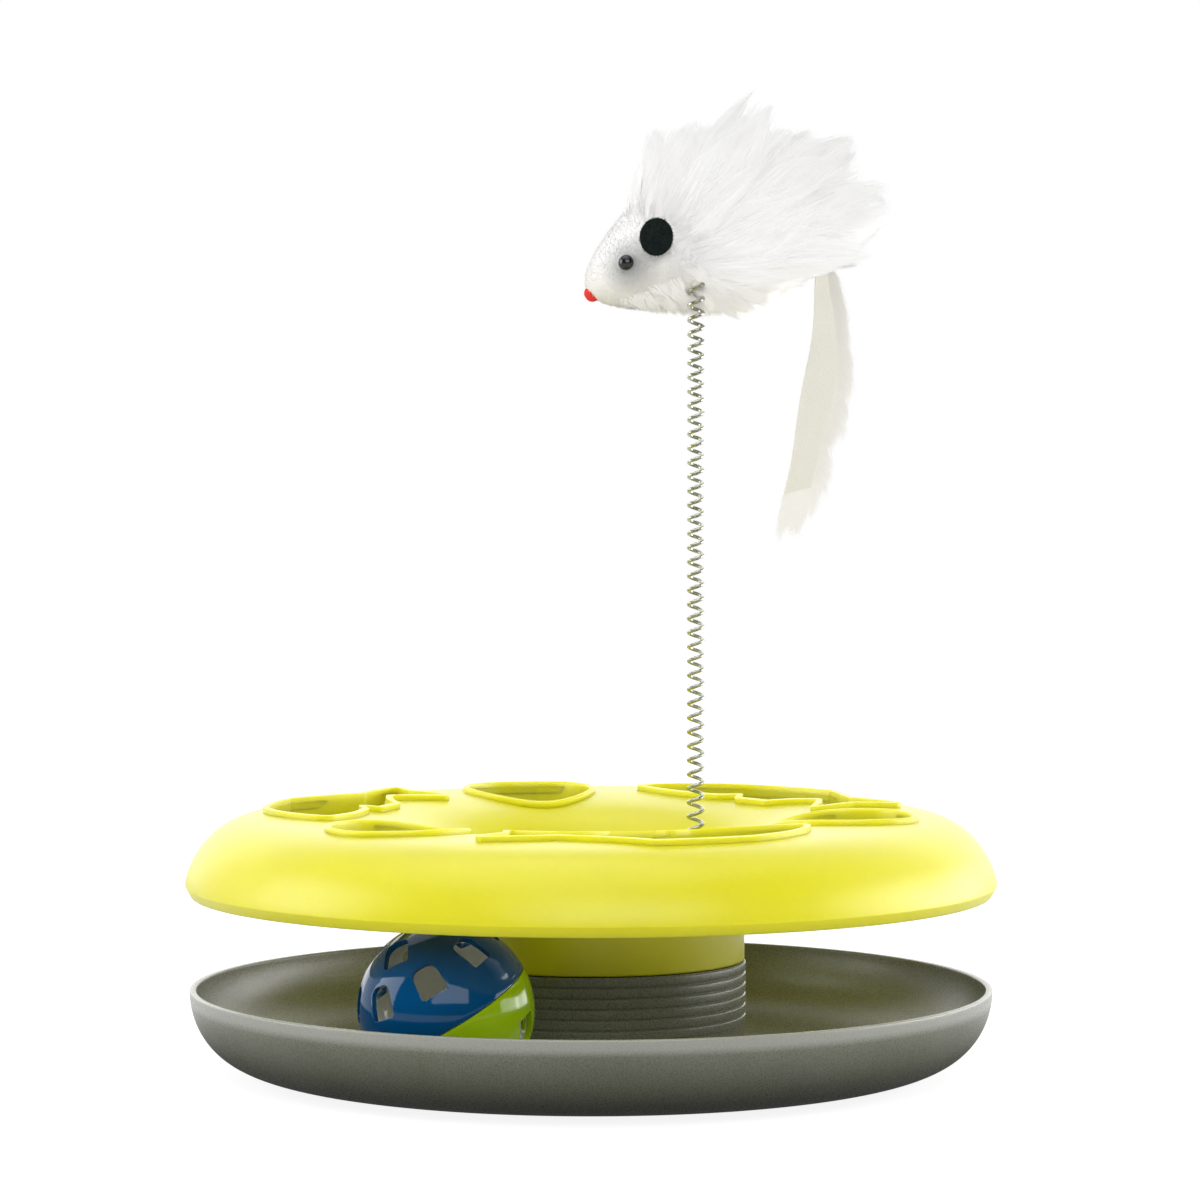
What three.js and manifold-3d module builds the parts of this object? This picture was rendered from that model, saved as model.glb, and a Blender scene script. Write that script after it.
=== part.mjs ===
// Cat ball track toy: a round tray and a domed cover with cut-outs hold a lattice ball on a ring track.
// A furry mouse stands on a long coil spring over the dish in the middle of the cover.
// Millimetres, +Z up, origin on the track's axis at the floor. The front is -Y and the mouse faces -X.
import * as THREE from "three";
import { mergeVertices } from "three/addons/utils/BufferGeometryUtils.js";
import Module from "manifold-3d";

const wasm = await Module();
wasm.setup();

// Clearance between neighbouring pieces, and facets round a turned shape
const FIT = 0.3;
const FACETS = 36;

// Tray
const TRAY_R = 118.8;
const TRAY_FLAT_R = 76;
const TRAY_H = 25.2;
const TRAY_WALL = 2;
const BOWL_CURVE = 3.5;

// Rubber feet in wells under the tray
const FOOT_COUNT = 4;
const FOOT_R = 6;
const FOOT_RING_R = 64;
const FOOT_PROUD = 0.8;
const FOOT_WELL_DEPTH = 1;

// Ribbed post in the middle of the tray
const HUB_R = 45.5;
const HUB_H = 31;
const HUB_WALL = 2.2;
const HUB_FLARE_R = 9;
const HUB_FOOT_T = 1.2;
const SPIGOT_H = 8;
const RIDGE_COUNT = 6;
const RIDGE_PITCH = 3.1;
const RIDGE_H = 0.8;
const HUB_FACETS = 28;

// Domed cover
const COVER_R = 120;
const COVER_WALL = 2.2;
const CREST_R = 86;
const MOUTH_GAP = 27.9;
const LIP_H = 3;
const LIP_DRAFT = 1.6;
const DOME_H = 20.5;
const DOME_CURVE = 3.5;
const DOME_SHOULDER = 1.45;
const DISH_DEPTH = 27;
const DISH_WALL_H = 7.5;
const DISH_FILLET_R = 5;

// Cut-outs of the cover and the beads round them
const CUTOUT_PAIRS = 3;
const FISH_ANGLE = -75.5;
const FISH_R = 81.5;
const FISH_L = 97;
const FISH_W = 30;
const FISH_SIDE = 14;
const PORT_RING_R = 77.4;
const PORT_R = 18.8;
const PORT_FACETS = 24;
const BEAD_W = 1.8;
const BEAD_H = 1.6;

// Lattice ball
const BALL_R = 25;
const BALL_WALL = 1.8;
const BALL_ANGLE = -119.8;
const BALL_SEAM_NORMAL = new THREE.Vector3(-0.49, -0.12, 0.863).normalize();
const WINDOW_W = 8;
const WINDOW_H = 9.5;
const WINDOW_ROWS = [
  { latitude: 35, count: 8, start: 6.5 },
  { latitude: 68, count: 4, start: 72 },
];
const LIME_HALF_TURN = 23.5;

// Jingle bell inside the ball
const BELL_R = 9;
const BELL_WALL = 0.6;
const BELL_SLOT_W = 1.6;
const BELL_SLOT_L = 13;
const PELLET_R = 2.6;

// Coil spring and the plug that holds it in the dish
const WIRE_D = 1;
const SPRING_D = 5.4;
const SPRING_PITCH = 4.2;
const SPRING_TURNS = 43;
const TURN_STEPS = 8;
const WIRE_SIDES = 5;
const PLUG_FLANGE_R = 7;
const PLUG_FLANGE_T = 1.6;
const PLUG_STEM_R = 3.7;
const PLUG_STEM_L = 6;
const PEG_L = 13;

// Stuffed mouse, placed from the top of the spring
const MOUSE_Y = 12;
const BODY_L = 68.5;
const BODY_R = 30;
const BODY_FLATTEN = 0.8;
const BODY_TILT = 16;
const BODY_AHEAD = 16;
const BODY_RISE = 10.3;
const HEAD_L = 28;
const HEAD_R = 19;
const HEAD_TAPER = 0.55;
const HEAD_TILT = 27;
const NOSE_AHEAD = 32.2;
const NOSE_DROP = 3.2;
const NOSE_R = 2.3;
const EAR_R = 5;
const EAR_T = 1.2;
const EAR_BACK = 20.4;
const EAR_UP = 16.2;
const EYE_R = 2.1;
const EYE_BACK = 11.5;
const EYE_UP = 8.5;
const CORE_R = 12;
const CORE_RISE = 17;
const CORE_BACK = 2;
const CORE_INSET = 8;
const CORE_FLANGE_T = 1.5;

// Tail: a strip of pelt with fur on its back
const TAIL_BACK = 37.5;
const TAIL_GAP = 0.6;
const TAIL_L = 61;
const TAIL_ROOT_W = 4;
const TAIL_MID_W = 10.5;
const TAIL_END_W = 8;
const TAIL_LEAN = 7;
const TAIL_T = 1.2;
const TAIL_FUR_START = 10;
const TAIL_FUR_T = 4.5;
const TAIL_FUR_W = 13;
const TAIL_FUR_SHIFT = 3.5;
const TAIL_TUFT_L = 15;

// Places that follow from those sizes
const FLOOR_Z = FOOT_PROUD + TRAY_WALL;
const RIM_Z = FOOT_PROUD + TRAY_H;
const SHOULDER_Z = FLOOR_Z + HUB_H;
const LIP_Z = RIM_Z + MOUTH_GAP;
const EDGE_Z = LIP_Z + LIP_H;
const CREST_Z = EDGE_Z + DOME_H;
const DISH_Z = CREST_Z - DISH_DEPTH;
const DISH_R = HUB_R - COVER_WALL;
const SPRING_X = DISH_R - DISH_FILLET_R - PLUG_FLANGE_R - FIT;
const BALL_TRACK_R = (HUB_R + TRAY_R) / 2;
const PLUG_TOP_Z = DISH_Z + FIT + PLUG_FLANGE_T;
const SPRING_BOTTOM_Z = PLUG_TOP_Z + FIT;
const SPRING_TOP_Z = SPRING_BOTTOM_Z + SPRING_TURNS * SPRING_PITCH + 2 * WIRE_D;
const COIL_R = (SPRING_D - WIRE_D) / 2;
const PEG_R = COIL_R - WIRE_D / 2 - FIT;
const SPRING_SEAT_R = SPRING_D / 2 + FIT;
const NOSE_TIP = new THREE.Vector3(SPRING_X - NOSE_AHEAD, MOUSE_Y, SPRING_TOP_Z - NOSE_DROP);
const BODY_TIP = new THREE.Vector3(SPRING_X - BODY_AHEAD, MOUSE_Y, SPRING_TOP_Z + BODY_RISE);
const CORE_CENTRE = new THREE.Vector3(SPRING_X + CORE_BACK, CORE_INSET, SPRING_TOP_Z + CORE_RISE);

const rad = THREE.MathUtils.degToRad;
const V2 = (x, y) => new THREE.Vector2(x, y);
const UP = new THREE.Vector3(0, 0, 1);

// Closed geometries as solids, and back

function solid(geometry) {
  const bare = geometry.index ? geometry.toNonIndexed() : geometry.clone();
  bare.deleteAttribute("normal");
  bare.deleteAttribute("uv");
  const merged = mergeVertices(bare, 1e-4);
  const index = merged.index.array;
  const kept = [];
  for (let i = 0; i < index.length; i += 3) {
    const [a, b, c] = index.slice(i, i + 3);
    if (a !== b && b !== c && c !== a) kept.push(a, b, c);
  }
  const vertProperties = merged.attributes.position.array;
  return new wasm.Manifold(new wasm.Mesh({ numProp: 3, vertProperties, triVerts: new Uint32Array(kept) }));
}

function geometryOf(made) {
  const { vertProperties, triVerts } = made.getMesh();
  const geometry = new THREE.BufferGeometry();
  geometry.setAttribute("position", new THREE.BufferAttribute(vertProperties, 3));
  geometry.setIndex(new THREE.BufferAttribute(triVerts, 1));
  geometry.computeVertexNormals();
  return geometry;
}

function join(...geometries) {
  return geometryOf(geometries.map(solid).reduce((made, next) => made.add(next)));
}

function cut(geometry, ...tools) {
  return geometryOf(tools.map(solid).reduce((made, tool) => made.subtract(tool), solid(geometry)));
}

// Basic shapes

function counterClockwise(points) {
  return THREE.ShapeUtils.area(points) < 0 ? [...points].reverse() : points;
}

// A profile of (radius, height) points turned about Z.
function turned(profile, facets = FACETS) {
  return new THREE.LatheGeometry(counterClockwise(profile), facets).rotateX(Math.PI / 2);
}

// A closed ring's profile ends on its first point.
function ring(profile, facets = FACETS) {
  const points = counterClockwise(profile);
  return new THREE.LatheGeometry([...points, points[0].clone()], facets).rotateX(Math.PI / 2);
}

function upright(radius, bottom, top, facets = FACETS / 2) {
  const bar = new THREE.CylinderGeometry(radius, radius, top - bottom, facets);
  return bar.rotateX(Math.PI / 2).translate(0, 0, (top + bottom) / 2);
}

function prism(shape, bottom, top) {
  const made = new THREE.ExtrudeGeometry(shape, { depth: top - bottom, bevelEnabled: false });
  return made.translate(0, 0, bottom);
}

function arc(cx, cy, radius, from, to, steps) {
  return Array.from({ length: steps + 1 }, (_, i) => {
    const a = rad(from + ((to - from) * i) / steps);
    return V2(cx + radius * Math.cos(a), cy + radius * Math.sin(a));
  });
}

// Each point of a line moved to the right of the way that it runs, with mitred corners.
function offset(points, distance, closed = false) {
  const last = points.length - 1;
  return points.map((p, i) => {
    const before = i > 0 ? points[i - 1] : closed && points[last];
    const after = i < last ? points[i + 1] : closed && points[0];
    const runs = [before && p.clone().sub(before), after && after.clone().sub(p)].filter(Boolean);
    const normals = runs.map((run) => V2(run.y, -run.x).normalize());
    const middle = normals.reduce((sum, n) => sum.add(n), V2(0, 0)).normalize();
    return p.clone().addScaledVector(middle, distance / middle.dot(normals[0]));
  });
}

// Tray, feet and post

function bowlLine() {
  const steps = 7;
  return Array.from({ length: steps + 1 }, (_, i) => {
    const s = Math.sin(((i / steps) * Math.PI) / 2);
    const drop = TRAY_H * Math.sqrt(1 - s ** BOWL_CURVE);
    return V2(TRAY_FLAT_R + (TRAY_R - TRAY_FLAT_R) * s, RIM_Z - drop);
  });
}

function baseTray() {
  const hole = HUB_R - HUB_WALL + FIT;
  const outside = bowlLine();
  const inside = offset(outside.slice(0, -1), -TRAY_WALL);
  const rim = V2(TRAY_R - TRAY_WALL, RIM_Z);
  const bowl = ring([V2(hole, FOOT_PROUD), ...outside, rim, ...inside.reverse(), V2(hole, FLOOR_Z)]);
  const wells = footSpots().map(([x, y]) =>
    upright(FOOT_R + FIT, 0, FOOT_PROUD + FOOT_WELL_DEPTH).translate(x, y, 0),
  );
  return cut(bowl, ...wells);
}

function footSpots() {
  return Array.from({ length: FOOT_COUNT }, (_, i) => {
    const a = ((i + 0.5) / FOOT_COUNT) * 2 * Math.PI;
    return [FOOT_RING_R * Math.cos(a), FOOT_RING_R * Math.sin(a)];
  });
}

function foot([x, y]) {
  const top = FOOT_PROUD + FOOT_WELL_DEPTH - FIT;
  const chamfer = FOOT_PROUD / 2;
  const profile = [V2(0, 0), V2(FOOT_R - chamfer, 0), V2(FOOT_R, chamfer), V2(FOOT_R, top), V2(0, top)];
  return turned(profile, FACETS / 2).translate(x, y, 0);
}

function hubPost() {
  const seat = FLOOR_Z + FIT;
  const neck = HUB_R - HUB_WALL;
  const bore = neck - HUB_WALL;
  const top = SHOULDER_Z + SPIGOT_H;
  const ceiling = top - HUB_WALL;
  const flare = arc(HUB_R + HUB_FLARE_R, seat + HUB_FOOT_T + HUB_FLARE_R, HUB_FLARE_R, 270, 180, 4);
  const ridges = [];
  for (let i = RIDGE_COUNT; i >= 1; i--) {
    const z = SHOULDER_Z - (i - 0.5) * RIDGE_PITCH;
    const half = RIDGE_PITCH / 3;
    ridges.push(V2(HUB_R, z - half), V2(HUB_R + RIDGE_H, z), V2(HUB_R, z + half));
  }
  const sleeve = [V2(bore, FOOT_PROUD), V2(neck, FOOT_PROUD), V2(neck, seat), V2(HUB_R + HUB_FLARE_R, seat)];
  const shoulder = [V2(HUB_R, SHOULDER_Z), V2(neck - FIT, SHOULDER_Z)];
  const spigot = [V2(neck - FIT, top), V2(0, top)];
  const hollow = [V2(0, ceiling), V2(bore, ceiling)];
  return turned([...hollow, ...sleeve, ...flare, ...ridges, ...shoulder, ...spigot], HUB_FACETS);
}

// Cover

// From the crest out over the dome to its widest edge, and in again to the lip.
function domeLine() {
  const steps = 6;
  const dome = Array.from({ length: steps + 1 }, (_, i) => {
    const s = Math.sin(((i / steps) * Math.PI) / 2);
    const rise = DOME_H * (1 - s ** DOME_CURVE) ** (1 / DOME_SHOULDER);
    return V2(CREST_R + (COVER_R - CREST_R) * s, EDGE_Z + rise);
  });
  return [...dome, V2(COVER_R - LIP_DRAFT, LIP_Z)];
}

// From the top of the dish's wall out and up to the crest.
function funnelLine() {
  const wallTop = V2(DISH_R, DISH_Z + DISH_WALL_H);
  const crest = V2(CREST_R, CREST_Z);
  const overWall = V2(DISH_R, wallTop.y + (CREST_Z - wallTop.y) * 0.8);
  const besideCrest = V2(DISH_R + (CREST_R - DISH_R) * 0.35, CREST_Z);
  return new THREE.CubicBezierCurve(wallTop, overWall, besideCrest, crest).getPoints(5);
}

function coverLine() {
  return [...funnelLine().slice(0, -1), ...domeLine()];
}

function coverShell() {
  const top = coverLine();
  const under = offset(top, COVER_WALL);
  const fillet = arc(DISH_R - DISH_FILLET_R, DISH_Z + DISH_FILLET_R, DISH_FILLET_R, 0, -90, 2);
  const collarZ = SHOULDER_Z + FIT;
  const floor = DISH_Z - COVER_WALL;
  const collar = [V2(0, floor), V2(DISH_R, floor), V2(DISH_R, collarZ), V2(HUB_R, collarZ)];
  return turned([...collar, ...under, ...top.reverse(), ...fillet, V2(0, DISH_Z)]);
}

// A band along the top of the cover, half sunk in it, from which the beads are taken.
function beadBand() {
  const top = coverLine();
  return ring([...offset(top, COVER_WALL / 2), ...offset(top, -BEAD_H).reverse()]);
}

// A fish from above: x runs along it to its nose, and y outwards from the track's axis.
function fishOutline() {
  const x = FISH_L / 2;
  const y = FISH_W / 2;
  const shape = new THREE.Shape();
  shape.moveTo(x, -0.05 * y);
  shape.quadraticCurveTo(0.8 * x, 0.66 * y, 0.4 * x, 0.92 * y);
  shape.lineTo(-0.12 * x, y);
  shape.lineTo(-0.26 * x, 0.7 * y);
  shape.quadraticCurveTo(-0.45 * x, 0.36 * y, -0.6 * x, 0.26 * y);
  shape.lineTo(-x, 0.8 * y);
  shape.lineTo(-0.9 * x, 0);
  shape.lineTo(-x, -0.85 * y);
  shape.lineTo(-0.6 * x, -0.3 * y);
  shape.quadraticCurveTo(-0.45 * x, -0.5 * y, -0.28 * x, -y);
  shape.lineTo(0.04 * x, -y);
  shape.lineTo(0.12 * x, -0.66 * y);
  shape.lineTo(0.3 * x, -0.84 * y);
  shape.quadraticCurveTo(0.8 * x, -0.8 * y, x, -0.05 * y);
  return shape;
}

// The fish bent along a circle about the track's axis, its long sides in short pieces.
function bentFish(angle) {
  const corners = fishOutline().getPoints(4).slice(0, -1);
  const sides = corners.flatMap((p, i) => {
    const next = corners[(i + 1) % corners.length];
    const pieces = Math.ceil(p.distanceTo(next) / FISH_SIDE);
    return Array.from({ length: pieces }, (_, k) => p.clone().lerp(next, k / pieces));
  });
  const bent = sides.map((p) => onCircle(FISH_R + p.y, rad(angle) + p.x / FISH_R));
  return counterClockwise(bent);
}

function roundPort(angle) {
  const centre = onCircle(PORT_RING_R, rad(angle));
  return arc(centre.x, centre.y, PORT_R, 0, 360, PORT_FACETS).slice(0, -1);
}

function onCircle(radius, a) {
  return V2(radius * Math.cos(a), radius * Math.sin(a));
}

// Fish and round ports take turns round the cover.
function cutouts() {
  const step = 360 / CUTOUT_PAIRS;
  return Array.from({ length: CUTOUT_PAIRS }, (_, i) => [
    bentFish(FISH_ANGLE + i * step),
    roundPort(FISH_ANGLE + (i + 0.5) * step),
  ]).flat();
}

function trackCover() {
  const band = solid(beadBand());
  const through = (points) => solid(prism(new THREE.Shape(points), DISH_Z, CREST_Z + 2 * BEAD_H));
  let made = solid(coverShell());
  for (const outline of cutouts()) made = made.add(band.intersect(through(offset(outline, BEAD_W, true))));
  for (const outline of cutouts()) made = made.subtract(through(outline));
  const plugHole = upright(PLUG_STEM_R + FIT, DISH_Z - 2 * COVER_WALL, DISH_Z + COVER_WALL);
  return cut(geometryOf(made), plugHole.translate(SPRING_X, 0, 0));
}

// Ball and bell

// Half of a hollow ball, with its open side on Z = 0.
function halfShell(radius, wall, facets, rows) {
  const outer = arc(0, 0, radius, 0, 90, rows);
  const inner = arc(0, 0, radius - wall, 90, 0, rows);
  return ring([...outer, ...inner], facets).translate(0, 0, FIT / 2);
}

function ballHalf() {
  const windows = WINDOW_ROWS.flatMap(({ latitude, count, start }) =>
    Array.from({ length: count }, (_, i) => {
      const window = new THREE.BoxGeometry(4 * BALL_WALL, WINDOW_W, WINDOW_H).translate(BALL_R, 0, 0);
      return window.rotateY(-rad(latitude)).rotateZ(rad(start + (i * 360) / count));
    }),
  );
  return cut(halfShell(BALL_R, BALL_WALL, 20, 5), ...windows);
}

function bellHalf() {
  return halfShell(BELL_R, BELL_WALL, 16, 4);
}

function slottedBellHalf() {
  const slot = new THREE.BoxGeometry(BELL_SLOT_L, BELL_SLOT_W, BELL_R).translate(0, 0, BELL_R);
  return cut(bellHalf(), slot);
}

// Spring and plug

function coilPath() {
  const steps = SPRING_TURNS * TURN_STEPS;
  const start = SPRING_BOTTOM_Z + WIRE_D;
  const path = Array.from({ length: steps + 1 }, (_, i) => {
    const a = (i / TURN_STEPS) * 2 * Math.PI;
    const z = start + (i / TURN_STEPS) * SPRING_PITCH;
    return new THREE.Vector3(SPRING_X + COIL_R * Math.cos(a), COIL_R * Math.sin(a), z);
  });
  const below = path[0].clone().setZ(SPRING_BOTTOM_Z);
  const above = path[steps].clone().setZ(SPRING_TOP_Z);
  return [below, ...path, above];
}

function leastGap(path) {
  let least = Infinity;
  path.forEach((p, i) => {
    for (const q of path.slice(i + TURN_STEPS / 2)) least = Math.min(least, p.distanceTo(q) - WIRE_D);
  });
  return least;
}

// One tube along the coil. Each ring of points is square to the wire, and starts on the coil's outside.
function coilSpring() {
  const path = coilPath();
  const last = path.length - 1;
  const points = path.flatMap((p, i) => {
    const run = path[Math.min(i + 1, last)].clone().sub(path[Math.max(i - 1, 0)]).normalize();
    const out = new THREE.Vector3(p.x - SPRING_X, p.y, 0);
    out.addScaledVector(run, -out.dot(run)).normalize();
    const across = run.clone().cross(out);
    return Array.from({ length: WIRE_SIDES }, (_, j) => {
      const a = (j / WIRE_SIDES) * 2 * Math.PI;
      const spot = p.clone().addScaledVector(out, (WIRE_D / 2) * Math.cos(a));
      return spot.addScaledVector(across, (WIRE_D / 2) * Math.sin(a));
    });
  });
  const corner = (i, j) => i * WIRE_SIDES + (j % WIRE_SIDES);
  const index = [];
  for (let i = 0; i < last; i++) {
    for (let j = 0; j < WIRE_SIDES; j++) {
      index.push(corner(i, j), corner(i, j + 1), corner(i + 1, j + 1));
      index.push(corner(i, j), corner(i + 1, j + 1), corner(i + 1, j));
    }
  }
  for (let j = 1; j < WIRE_SIDES - 1; j++) {
    index.push(corner(0, 0), corner(0, j + 1), corner(0, j));
    index.push(corner(last, 0), corner(last, j), corner(last, j + 1));
  }
  console.log(`spring: least gap between its turns ${leastGap(path).toFixed(2)} mm`);
  return new THREE.BufferGeometry().setFromPoints(points).setIndex(index);
}

function springPlug() {
  const stemZ = DISH_Z - PLUG_STEM_L;
  const seat = DISH_Z + FIT;
  const pegZ = SPRING_BOTTOM_Z + PEG_L;
  const stem = [V2(0, stemZ), V2(PLUG_STEM_R, stemZ), V2(PLUG_STEM_R, seat)];
  const flange = [V2(PLUG_FLANGE_R, seat), V2(PLUG_FLANGE_R, PLUG_TOP_Z)];
  const peg = [V2(PEG_R, PLUG_TOP_Z), V2(PEG_R, pegZ), V2(0, pegZ)];
  return turned([...stem, ...flange, ...peg], FACETS / 2).translate(SPRING_X, 0, 0);
}

// Mouse

// A profile of (radius, distance) points turned about an axis that starts at a point and rises to the back.
function swelling(profile, start, tilt, flatten, facets) {
  const [c, s] = [Math.cos(rad(tilt)), Math.sin(rad(tilt))];
  const axis = new THREE.Vector3(c, 0, s);
  const across = new THREE.Vector3(-s, 0, c);
  const frame = new THREE.Matrix4().makeBasis(across, axis, new THREE.Vector3(0, flatten, 0));
  return new THREE.LatheGeometry(counterClockwise(profile), facets).applyMatrix4(frame.setPosition(start));
}

// The egg-shaped body, grown all round for the clearance of what lies against it.
function bodyForm(grow = 0) {
  const half = BODY_L / 2;
  const steps = 10;
  const profile = Array.from({ length: steps + 1 }, (_, i) => {
    const a = (i / steps) * Math.PI;
    return V2((BODY_R + grow) * Math.sin(a), half - (half + grow) * Math.cos(a));
  });
  return swelling(profile, BODY_TIP, BODY_TILT, BODY_FLATTEN, 20);
}

// The head tapers to a blunt nose and runs back into the body.
function headForm(grow = 0) {
  const steps = 7;
  const profile = Array.from({ length: steps + 1 }, (_, i) => {
    const share = (i / steps) ** 2;
    return V2(HEAD_R * share ** HEAD_TAPER + (i > 0 ? grow : 0), HEAD_L * share - (i > 0 ? 0 : grow));
  });
  return swelling([...profile, V2(0, HEAD_L)], NOSE_TIP, HEAD_TILT, 1, 20);
}

// The spring's way up into the mouse: a passage with a slot that is open to the mouse's left.
function springWay() {
  const low = SPRING_TOP_Z - 2 * BODY_R;
  const slotTop = SPRING_TOP_Z + CORE_FLANGE_T + 2 * FIT;
  const passageR = SPRING_SEAT_R + FIT;
  const passage = upright(passageR, low, CORE_CENTRE.z).translate(SPRING_X, 0, 0);
  const slot = new THREE.BoxGeometry(2 * passageR, 2 * BODY_R, slotTop - low);
  return [passage, slot.translate(SPRING_X, -BODY_R, (slotTop + low) / 2)];
}

function mouseBody() {
  const pocket = new THREE.SphereGeometry(CORE_R + FIT, 16, 10).translate(...CORE_CENTRE);
  return cut(bodyForm(), pocket, ...springWay());
}

function mouseHead() {
  return cut(headForm(), bodyForm(FIT), ...springWay());
}

function mouseCore() {
  const seat = SPRING_TOP_Z + FIT;
  const centre = new THREE.SphereGeometry(CORE_R, 16, 10).translate(...CORE_CENTRE);
  const peg = upright(PEG_R, SPRING_TOP_Z - PEG_L, CORE_CENTRE.z).translate(SPRING_X, 0, 0);
  const flange = upright(SPRING_SEAT_R, seat, seat + CORE_FLANGE_T).translate(SPRING_X, 0, 0);
  return join(centre, peg, flange);
}

// Where a straight line from outside first meets a shape.
function touch(geometry, from, toward) {
  const shape = new THREE.Mesh(geometry, new THREE.MeshStandardMaterial());
  return new THREE.Raycaster(from, toward).intersectObject(shape)[0];
}

// A spot on one side of the head, -1 for the mouse's left and 1 for its right.
function headSpot(back, up, side) {
  const from = NOSE_TIP.clone().add(new THREE.Vector3(back, side * 2 * HEAD_R, up));
  return touch(headForm(), from, new THREE.Vector3(0, -side, 0));
}

function ear(side) {
  const { point, face } = headSpot(EAR_BACK, EAR_UP, side);
  const lie = new THREE.Quaternion().setFromUnitVectors(new THREE.Vector3(0, 1, 0), face.normal);
  const middle = point.clone().addScaledVector(face.normal, FIT + EAR_T / 2);
  const disc = new THREE.CylinderGeometry(EAR_R, EAR_R, EAR_T, 20).applyQuaternion(lie).translate(...middle);
  return cut(disc, bodyForm(FIT));
}

function eye(side) {
  const { point } = headSpot(EYE_BACK, EYE_UP, side);
  return cut(new THREE.SphereGeometry(EYE_R, 12, 8).translate(...point), headForm(FIT));
}

function nose() {
  const middle = NOSE_TIP.clone().add(new THREE.Vector3(0.7 * NOSE_R, 0, -0.35 * NOSE_R));
  return cut(new THREE.SphereGeometry(NOSE_R, 12, 8).translate(...middle), headForm(FIT));
}

// Tail

function tailRoot() {
  const below = new THREE.Vector3(SPRING_X + TAIL_BACK, MOUSE_Y, 0);
  return touch(bodyForm(), below, UP).point;
}

// A hanging strip in the plane of the mouse: widths at shares of its drop, about a line that leans forward.
function hangingShape(top, length, widths, shift) {
  const edge = (side) =>
    widths.map(([share, width]) => {
      const drop = top + share * length;
      const lean = TAIL_LEAN * (drop / TAIL_L) ** 1.5;
      return V2(shift * Math.sin(share * Math.PI) - lean + (side * width) / 2, -drop);
    });
  const shape = new THREE.Shape();
  const [left, right] = [edge(-1), edge(1).reverse()];
  shape.moveTo(left[0].x, left[0].y);
  shape.splineThru(left.slice(1));
  shape.lineTo(right[0].x, right[0].y);
  shape.splineThru(right.slice(1));
  return shape;
}

function hanging(shape, thickness, near) {
  const made = new THREE.ExtrudeGeometry(shape, { depth: thickness, bevelEnabled: false, curveSegments: 5 });
  const root = tailRoot();
  return made.rotateX(Math.PI / 2).translate(root.x, root.y + near + thickness, root.z);
}

function tailStrip() {
  const widths = [
    [0, TAIL_ROOT_W],
    [0.4, TAIL_MID_W],
    [1, TAIL_END_W],
  ];
  const strip = hanging(hangingShape(0, TAIL_L, widths, 0), TAIL_T, -TAIL_T / 2);
  return cut(strip, bodyForm(TAIL_GAP));
}

function tailFur() {
  const widths = [
    [0, TAIL_ROOT_W],
    [0.4, TAIL_FUR_W],
    [1, TAIL_ROOT_W],
  ];
  const length = TAIL_L - TAIL_FUR_START + TAIL_TUFT_L;
  const shape = hangingShape(TAIL_FUR_START, length, widths, TAIL_FUR_SHIFT);
  return hanging(shape, TAIL_FUR_T, TAIL_T / 2 + FIT);
}

// Finishes

function finish(color, roughness, metalness = 0) {
  return new THREE.MeshStandardMaterial({ color, roughness, metalness });
}

const GREY_PLASTIC = finish(0x6e706a, 0.55);
const YELLOW_PLASTIC = finish(0xebe13c, 0.4);
const BLUE_PLASTIC = finish(0x0a3c78, 0.15);
const LIME_PLASTIC = finish(0xa8cd05, 0.18);
const WHITE_PLASTIC = finish(0xe6e4da, 0.5);
const BLACK_RUBBER = finish(0x1d1d1d, 0.85);
const STEEL = finish(0xc8c8c0, 0.25, 1);
const BRASS = finish(0xc9a24a, 0.3, 1);
const WHITE_FUR = finish(0xf0f0ec, 0.95);
const BLACK_FELT = finish(0x0e1210, 1);
const BLACK_BEAD = finish(0x101214, 0.1);
const RED_FELT = finish(0xe03228, 0.8);
const PELT = finish(0xe4e0d2, 0.85);

function piece(name, geometry, material) {
  const mesh = new THREE.Mesh(geometry, material);
  mesh.name = name;
  return mesh;
}

function group(...pieces) {
  return new THREE.Group().add(...pieces);
}

// Assembly

const tray = group(
  piece("base_tray", baseTray(), GREY_PLASTIC),
  piece("hub_post", hubPost(), GREY_PLASTIC),
  ...footSpots().map((spot, i) => piece(`foot_${i + 1}`, foot(spot), BLACK_RUBBER)),
);

const cover = group(
  piece("track_cover", trackCover(), YELLOW_PLASTIC),
  piece("spring_plug", springPlug(), WHITE_PLASTIC),
);

const mouse = group(
  piece("mouse_core", mouseCore(), WHITE_PLASTIC),
  piece("mouse_body", mouseBody(), WHITE_FUR),
  piece("mouse_head", mouseHead(), WHITE_FUR),
  piece("ear_left", ear(-1), BLACK_FELT),
  piece("ear_right", ear(1), BLACK_FELT),
  piece("eye_left", eye(-1), BLACK_BEAD),
  piece("eye_right", eye(1), BLACK_BEAD),
  piece("nose", nose(), RED_FELT),
  piece("tail_strip", tailStrip(), PELT),
  piece("tail_fur", tailFur(), WHITE_FUR),
);

// The bell lies at the bottom of the ball, and the pellet at the bottom of the bell.
const bell = group(
  piece("bell_top", bellHalf(), BRASS),
  piece("bell_bottom", slottedBellHalf().rotateX(Math.PI), BRASS),
  piece("bell_pellet", new THREE.SphereGeometry(PELLET_R, 10, 6), STEEL),
);
bell.position.z = -(BALL_R - BALL_WALL - BELL_R - 2 * FIT);
bell.children[2].position.z = -(BELL_R - BELL_WALL - PELLET_R - 2 * FIT);

const halves = group(
  piece("ball_half_blue", ballHalf(), BLUE_PLASTIC),
  piece("ball_half_lime", ballHalf().rotateZ(rad(LIME_HALF_TURN)).rotateX(Math.PI), LIME_PLASTIC),
);
halves.quaternion.setFromUnitVectors(UP, BALL_SEAM_NORMAL);

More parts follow.
